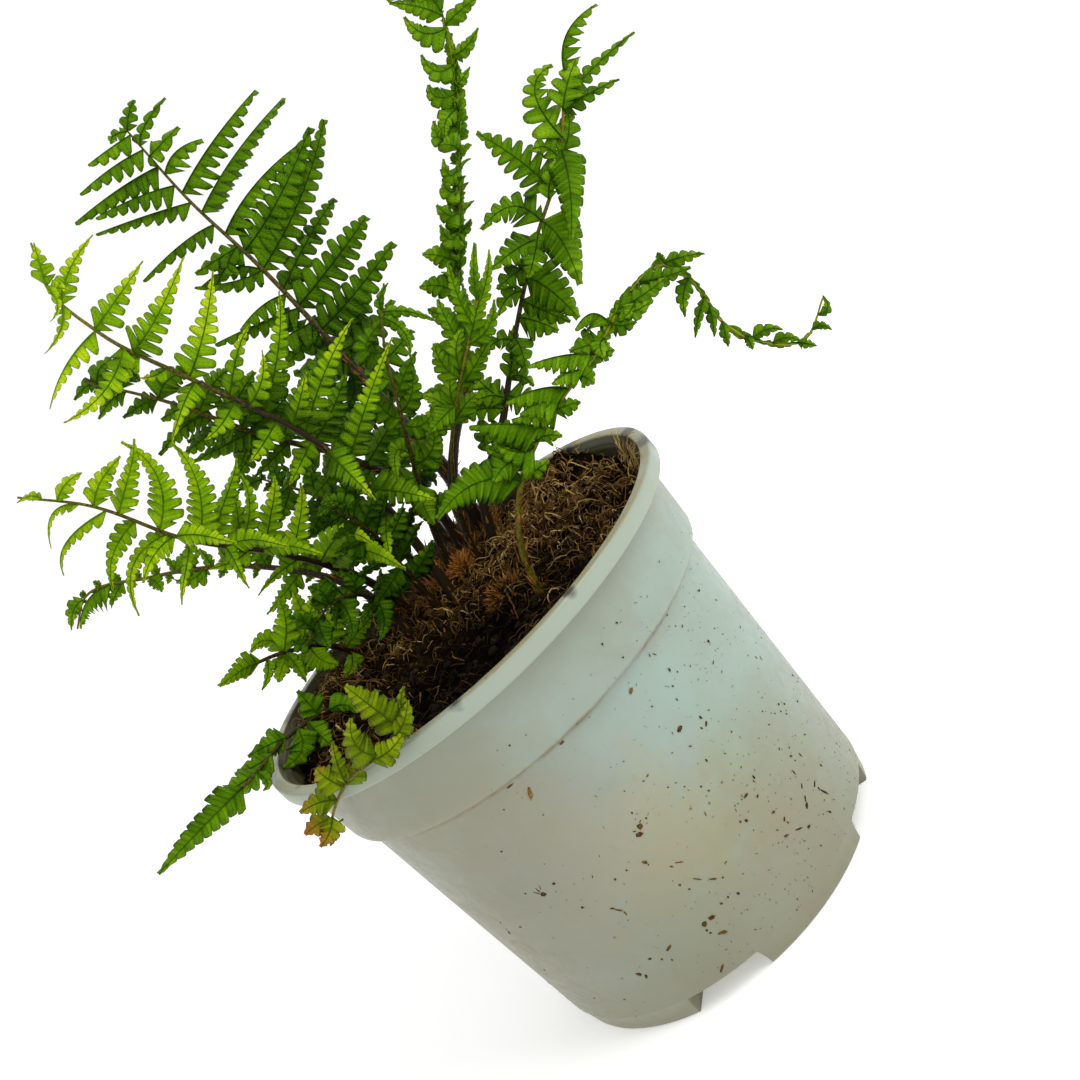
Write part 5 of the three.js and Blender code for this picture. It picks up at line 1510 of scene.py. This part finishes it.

# %% [markdown]
# ## Soil on the pot
# Bits of the mix have dried on the outside of the wall. They lie flat against it, mostly low on
# the front, where the pot stood on wet ground.

# %% Crumbs picked on the wall
# The crumbs were picked on two enlarged pieces of the photograph. A row holds the pixels
# across and down of a crumb there, its length and width in them, the way it points (degrees,
# from the right, turning left) and how light it is.
ENLARGED = 3.4615
PIXELS_PER_MM = 3.1
LOW_CORNER = (490, 720)
LOW_CRUMBS = [
    (137, 250, 62, 18, -80, 0.62), (250, 78, 20, 9, 50, 0.5), (70, 228, 34, 9, 40, 0.35),
    (68, 88, 8, 8, 0, 0.25), (517, 368, 26, 22, 0, 0.35), (516, 396, 26, 22, 20, 0.35),
    (520, 350, 16, 4, 60, 0.3), (500, 385, 16, 4, 10, 0.3), (535, 492, 22, 14, -20, 0.35),
    (548, 500, 12, 5, -50, 0.3), (433, 551, 12, 11, 0, 0.35), (220, 566, 14, 13, 0, 0.3),
    (184, 602, 22, 26, 0, 0.3), (165, 588, 30, 4, -40, 0.35), (160, 598, 34, 4, -15, 0.35),
    (174, 580, 26, 4, -65, 0.35), (445, 658, 34, 7, -8, 0.38), (468, 668, 18, 7, -50, 0.38),
    (423, 652, 14, 7, 10, 0.38), (320, 648, 12, 12, 0, 0.4), (715, 550, 40, 7, -5, 0.4),
    (770, 550, 42, 8, 4, 0.4), (805, 545, 8, 8, 0, 0.35), (770, 683, 28, 20, 30, 0.33),
    (741, 706, 20, 22, 60, 0.33), (750, 728, 10, 10, 0, 0.35), (763, 737, 9, 8, 0, 0.35),
    (805, 735, 44, 16, 12, 0.45), (620, 787, 30, 12, 55, 0.4), (553, 826, 18, 10, 20, 0.35),
    (595, 828, 10, 9, 0, 0.35), (630, 830, 8, 8, 0, 0.35), (516, 880, 24, 14, 0, 0.3),
    (541, 886, 10, 22, 0, 0.3), (803, 857, 38, 12, 70, 0.42), (655, 30, 28, 12, 65, 0.4),
    (748, 12, 16, 8, 80, 0.3), (655, 492, 36, 5, 8, 0.45), (628, 507, 14, 7, -10, 0.4),
    (657, 570, 12, 10, 0, 0.4), (690, 585, 8, 8, 0, 0.4), (800, 635, 14, 9, 0, 0.4),
    (858, 600, 18, 10, -20, 0.35), (825, 612, 10, 9, 0, 0.35), (884, 262, 20, 10, 60, 0.3),
    (888, 348, 12, 11, 0, 0.3), (866, 352, 8, 8, 0, 0.3), (750, 140, 18, 6, -60, 0.35),
    (67, 735, 22, 9, -50, 0.4), (105, 716, 18, 6, -10, 0.4), (40, 455, 10, 9, 0, 0.3),
    (48, 310, 8, 8, 0, 0.35), (123, 600, 8, 8, 0, 0.35), (473, 520, 8, 8, 0, 0.35),
    (540, 340, 9, 7, 0, 0.35), (492, 322, 8, 8, 0, 0.3), (730, 230, 8, 8, 0, 0.3),
    (745, 325, 18, 5, -65, 0.35),
]
HIGH_CORNER = (600, 580)
HIGH_CRUMBS = [
    (108, 383, 26, 14, 70, 0.42), (240, 310, 14, 10, -70, 0.3), (268, 318, 7, 6, 0, 0.3),
    (375, 212, 14, 12, 0, 0.12), (278, 515, 26, 12, 60, 0.28), (348, 476, 14, 10, -30, 0.2),
    (367, 497, 20, 8, 90, 0.2), (352, 513, 13, 6, -20, 0.25), (172, 262, 16, 5, -70, 0.3),
    (188, 257, 20, 4, -20, 0.35), (342, 38, 18, 9, 60, 0.25), (402, 70, 10, 6, -50, 0.3),
    (396, 168, 8, 6, 0, 0.3), (285, 160, 12, 5, 90, 0.3), (292, 92, 8, 7, 0, 0.3),
    (232, 122, 8, 7, 0, 0.35), (392, 285, 16, 5, 80, 0.3), (421, 318, 12, 4, 80, 0.3),
    (252, 367, 9, 7, 0, 0.25), (556, 270, 22, 5, -65, 0.4), (540, 268, 12, 5, -60, 0.4),
    (666, 330, 14, 9, -50, 0.35), (683, 352, 12, 5, -50, 0.4), (618, 430, 10, 9, 0, 0.28),
    (638, 430, 10, 9, 0, 0.28), (626, 455, 8, 8, 0, 0.35), (605, 462, 7, 6, 0, 0.35),
    (645, 463, 9, 7, 0, 0.35), (683, 420, 10, 9, 0, 0.3), (562, 455, 8, 7, 0, 0.35),
    (455, 525, 8, 7, 0, 0.35), (585, 500, 8, 7, 0, 0.35), (708, 535, 10, 8, 0, 0.35),
    (620, 585, 14, 6, 80, 0.35), (655, 580, 12, 5, 80, 0.35), (660, 610, 14, 10, 0, 0.35),
    (693, 605, 20, 7, -50, 0.3), (675, 625, 10, 6, 0, 0.35), (765, 642, 14, 7, -60, 0.3),
    (532, 682, 18, 9, -60, 0.25), (350, 715, 8, 8, 0, 0.3), (376, 729, 8, 8, 0, 0.35),
    (670, 665, 26, 6, -50, 0.3), (698, 712, 24, 7, 90, 0.28), (743, 708, 28, 8, 90, 0.28),
    (757, 722, 18, 8, -50, 0.28), (776, 734, 42, 9, -28, 0.28), (508, 742, 16, 12, 70, 0.35),
    (545, 748, 14, 10, 70, 0.32), (600, 803, 18, 11, 30, 0.33), (710, 755, 20, 8, 90, 0.3),
    (716, 782, 26, 14, 90, 0.3), (795, 802, 22, 9, -20, 0.35), (638, 828, 18, 8, 90, 0.35),
    (650, 839, 14, 8, -40, 0.35), (688, 862, 38, 8, 25, 0.3), (723, 852, 18, 12, 60, 0.3),
    (645, 885, 22, 14, 30, 0.33), (505, 832, 16, 12, 0, 0.35), (368, 625, 14, 6, -50, 0.35),
    (292, 715, 7, 6, 0, 0.35), (432, 600, 12, 5, -10, 0.4), (110, 805, 7, 6, 0, 0.35),
    (180, 438, 7, 6, 0, 0.35), (58, 148, 10, 8, 0, 0.3), (8, 222, 8, 8, 0, 0.3),
    (80, 268, 8, 8, 0, 0.3),
]


def on_wall(pixels):
    """Where the lines of sight through pixels meet the wall: the first point of each line that
    is no farther from the axis of the pot than the wall is at that height."""
    depth = np.linspace(380, 640, 5201)[:, None]
    points = behind(pixels[:, :1, None], pixels[:, 1:, None], depth)
    height = points[..., 2]
    inside = np.hypot(points[..., 0], points[..., 1]) <= wall_radius(height)
    inside = inside & (height > 0) & (height < WALL_TOP)
    return points[np.arange(len(points)), inside.argmax(axis=1)]


low, high = np.array(LOW_CRUMBS), np.array(HIGH_CRUMBS)
picked = np.concatenate([low, high])
corner = np.repeat([LOW_CORNER, HIGH_CORNER], [len(low), len(high)], axis=0)
pixels = corner + picked[:, :2] / ENLARGED
points = on_wall(pixels)
pointing = np.radians(picked[:, 4:5])
beyond = on_wall(pixels + 1.5 * np.concatenate([np.cos(pointing), -np.sin(pointing)], 1)) - points
around = np.arctan2(points[:, 1], points[:, 0])
sideways = beyond[:, 1] * np.cos(around) - beyond[:, 0] * np.sin(around)
long_wide = picked[:, 2:4] / ENLARGED / PIXELS_PER_MM
leaning = np.degrees(np.arctan2(beyond[:, 2], sideways))
SPOTS = np.column_stack([np.degrees(around), points[:, 2], long_wide, leaning, picked[:, 5]])
SPOTS = SPOTS[np.argsort(SPOTS[:, 0])]
print(len(SPOTS), "crumbs picked on the photograph")

# %% All crumbs on the wall
# Like a picked crumb, a loose one has an angle round the pot (degrees), a height, a length and a
# width (mm), the way it points (degrees) and how light it is.
LOOSE_COUNT = 760
random = np.random.default_rng(60)
near_front, anywhere = random.normal(-60, 26, LOOSE_COUNT), random.uniform(-180, 180, LOOSE_COUNT)
loose = np.stack([
    np.where(np.arange(LOOSE_COUNT) % 2, near_front, anywhere),
    8 + 118 * random.random(LOOSE_COUNT) ** 1.4,
    0.25 + 1.0 * random.random(LOOSE_COUNT) ** 4,
    0.2 + 0.3 * random.random(LOOSE_COUNT) ** 2,
    random.uniform(0, 180, LOOSE_COUNT),
    random.uniform(0.2, 0.5, LOOSE_COUNT),
], 1)
around, level, long, wide, pointing, tone = np.concatenate([SPOTS, loose]).T[..., None, None, None]
around, pointing = np.radians(around[..., 0, 0]), np.radians(pointing[..., 0, 0])
nothing = 0 * around[:, 0]
flat = lumps(nothing, nothing, nothing, nothing + 0.62)
out = np.concatenate([np.cos(around), np.sin(around), 0 * around], 1)
beside = np.concatenate([-np.sin(around), np.cos(around), 0 * around], 1)
lengthwise = (beside * np.cos(pointing) + UP * np.sin(pointing))[:, None, None]
sideways = (UP * np.cos(pointing) - beside * np.sin(pointing))[:, None, None]
out, long, wide = out[:, None, None], 0.82 * long, 0.74 * wide
rings = wall_radius(level) * out + level * UP
rings = rings + flat[..., :1] * long * lengthwise + flat[..., 1:2] * wide * sideways
rings = rings + (flat[..., 2:] * 0.6 * np.minimum(wide, 1.2) + 0.12) * out
tones = np.clip(tone.ravel() + 0.02 + random.normal(0.0, 0.05, len(tone)), 0, 1)
skin = Skin()
skin.add(loft(rings), 0, np.repeat(tones, CLOD_POINTS), 0.0, 0.5, 0.5)
skin.piece("wall_crumbs", [fibre_finish])

# %% [markdown]
# ## Floor and light
# A pale floor and a pale surround keep the plant the only thing in view. The main light is a
# big soft panel above and to the right, as in the photograph, where that side of the pot is the
# lightest; a second panel opens the shadows at the left.

# %% Floor
# The floor's corners are in metres.
FLOOR_CORNERS = [(-6, -6, 0), (6, -6, 0), (6, 6, 0), (-6, 6, 0)]
mesh = bpy.data.meshes.new("floor")
mesh.from_pydata(FLOOR_CORNERS, [], [(0, 1, 2, 3)])
recipe = Recipe("floor")
pale = [(0.3, (0.93, 0.93, 0.92, 1)), (0.7, (0.96, 0.96, 0.95, 1))]
recipe.look("Base Color", recipe.ramp(recipe.noise(3, 2), pale))
mesh.materials.append(recipe.done(
    Roughness=0.9, Specular_IOR_Level=0.1, Emission_Color=(1.0, 1.0, 1.0, 1.0), Emission_Strength=0.3,
))
floor_plane = bpy.data.objects.new("floor", mesh)
bpy.context.scene.collection.objects.link(floor_plane)
print("floor", 2 * FLOOR_CORNERS[2][0], "m wide")


# %% Lights
def panel(name, place, aim, size, power):
    """A square area light at a place, turned so that its face looks at the aim. Both in mm."""
    light = bpy.data.objects.new(name, bpy.data.lights.new(name, "AREA"))
    light.data.size, light.data.energy = size, power
    back = unit(np.array(place, float) - np.array(aim, float))
    side = unit(np.cross(UP, back))
    placed(light, side, np.cross(back, side), back, place)


panel("key", (900, -700, 1150), (0, 0, 150), 0.9, 13)
panel("fill", (-900, -900, 500), (0, 0, 150), 1.2, 2)
print(len(bpy.data.lights), "panels of light")

# %% Surround
# It is brighter behind the plant than in front of it.
world = bpy.data.worlds.new("surround")
world.use_nodes = True
sky = world.node_tree
way = sky.nodes.new("ShaderNodeSeparateXYZ")
sky.links.new(sky.nodes.new("ShaderNodeTexCoord").outputs["Generated"], way.inputs["Vector"])
bright = sky.nodes.new("ShaderNodeMapRange")
for socket, number in zip(list(bright.inputs)[1:5], (0.3, 0.7, 0.72, 1.02)):
    socket.default_value = number
sky.links.new(way.outputs["Y"], bright.inputs["Value"])
sky.links.new(bright.outputs["Result"], sky.nodes["Background"].inputs["Strength"])
sky.nodes["Background"].inputs["Color"].default_value = (1, 1, 1, 1)
bpy.context.scene.world = world
bpy.context.scene.view_settings.view_transform = "Standard"
print("the surround's light runs from", *(round(bright.inputs[i].default_value, 2) for i in (3, 4)))
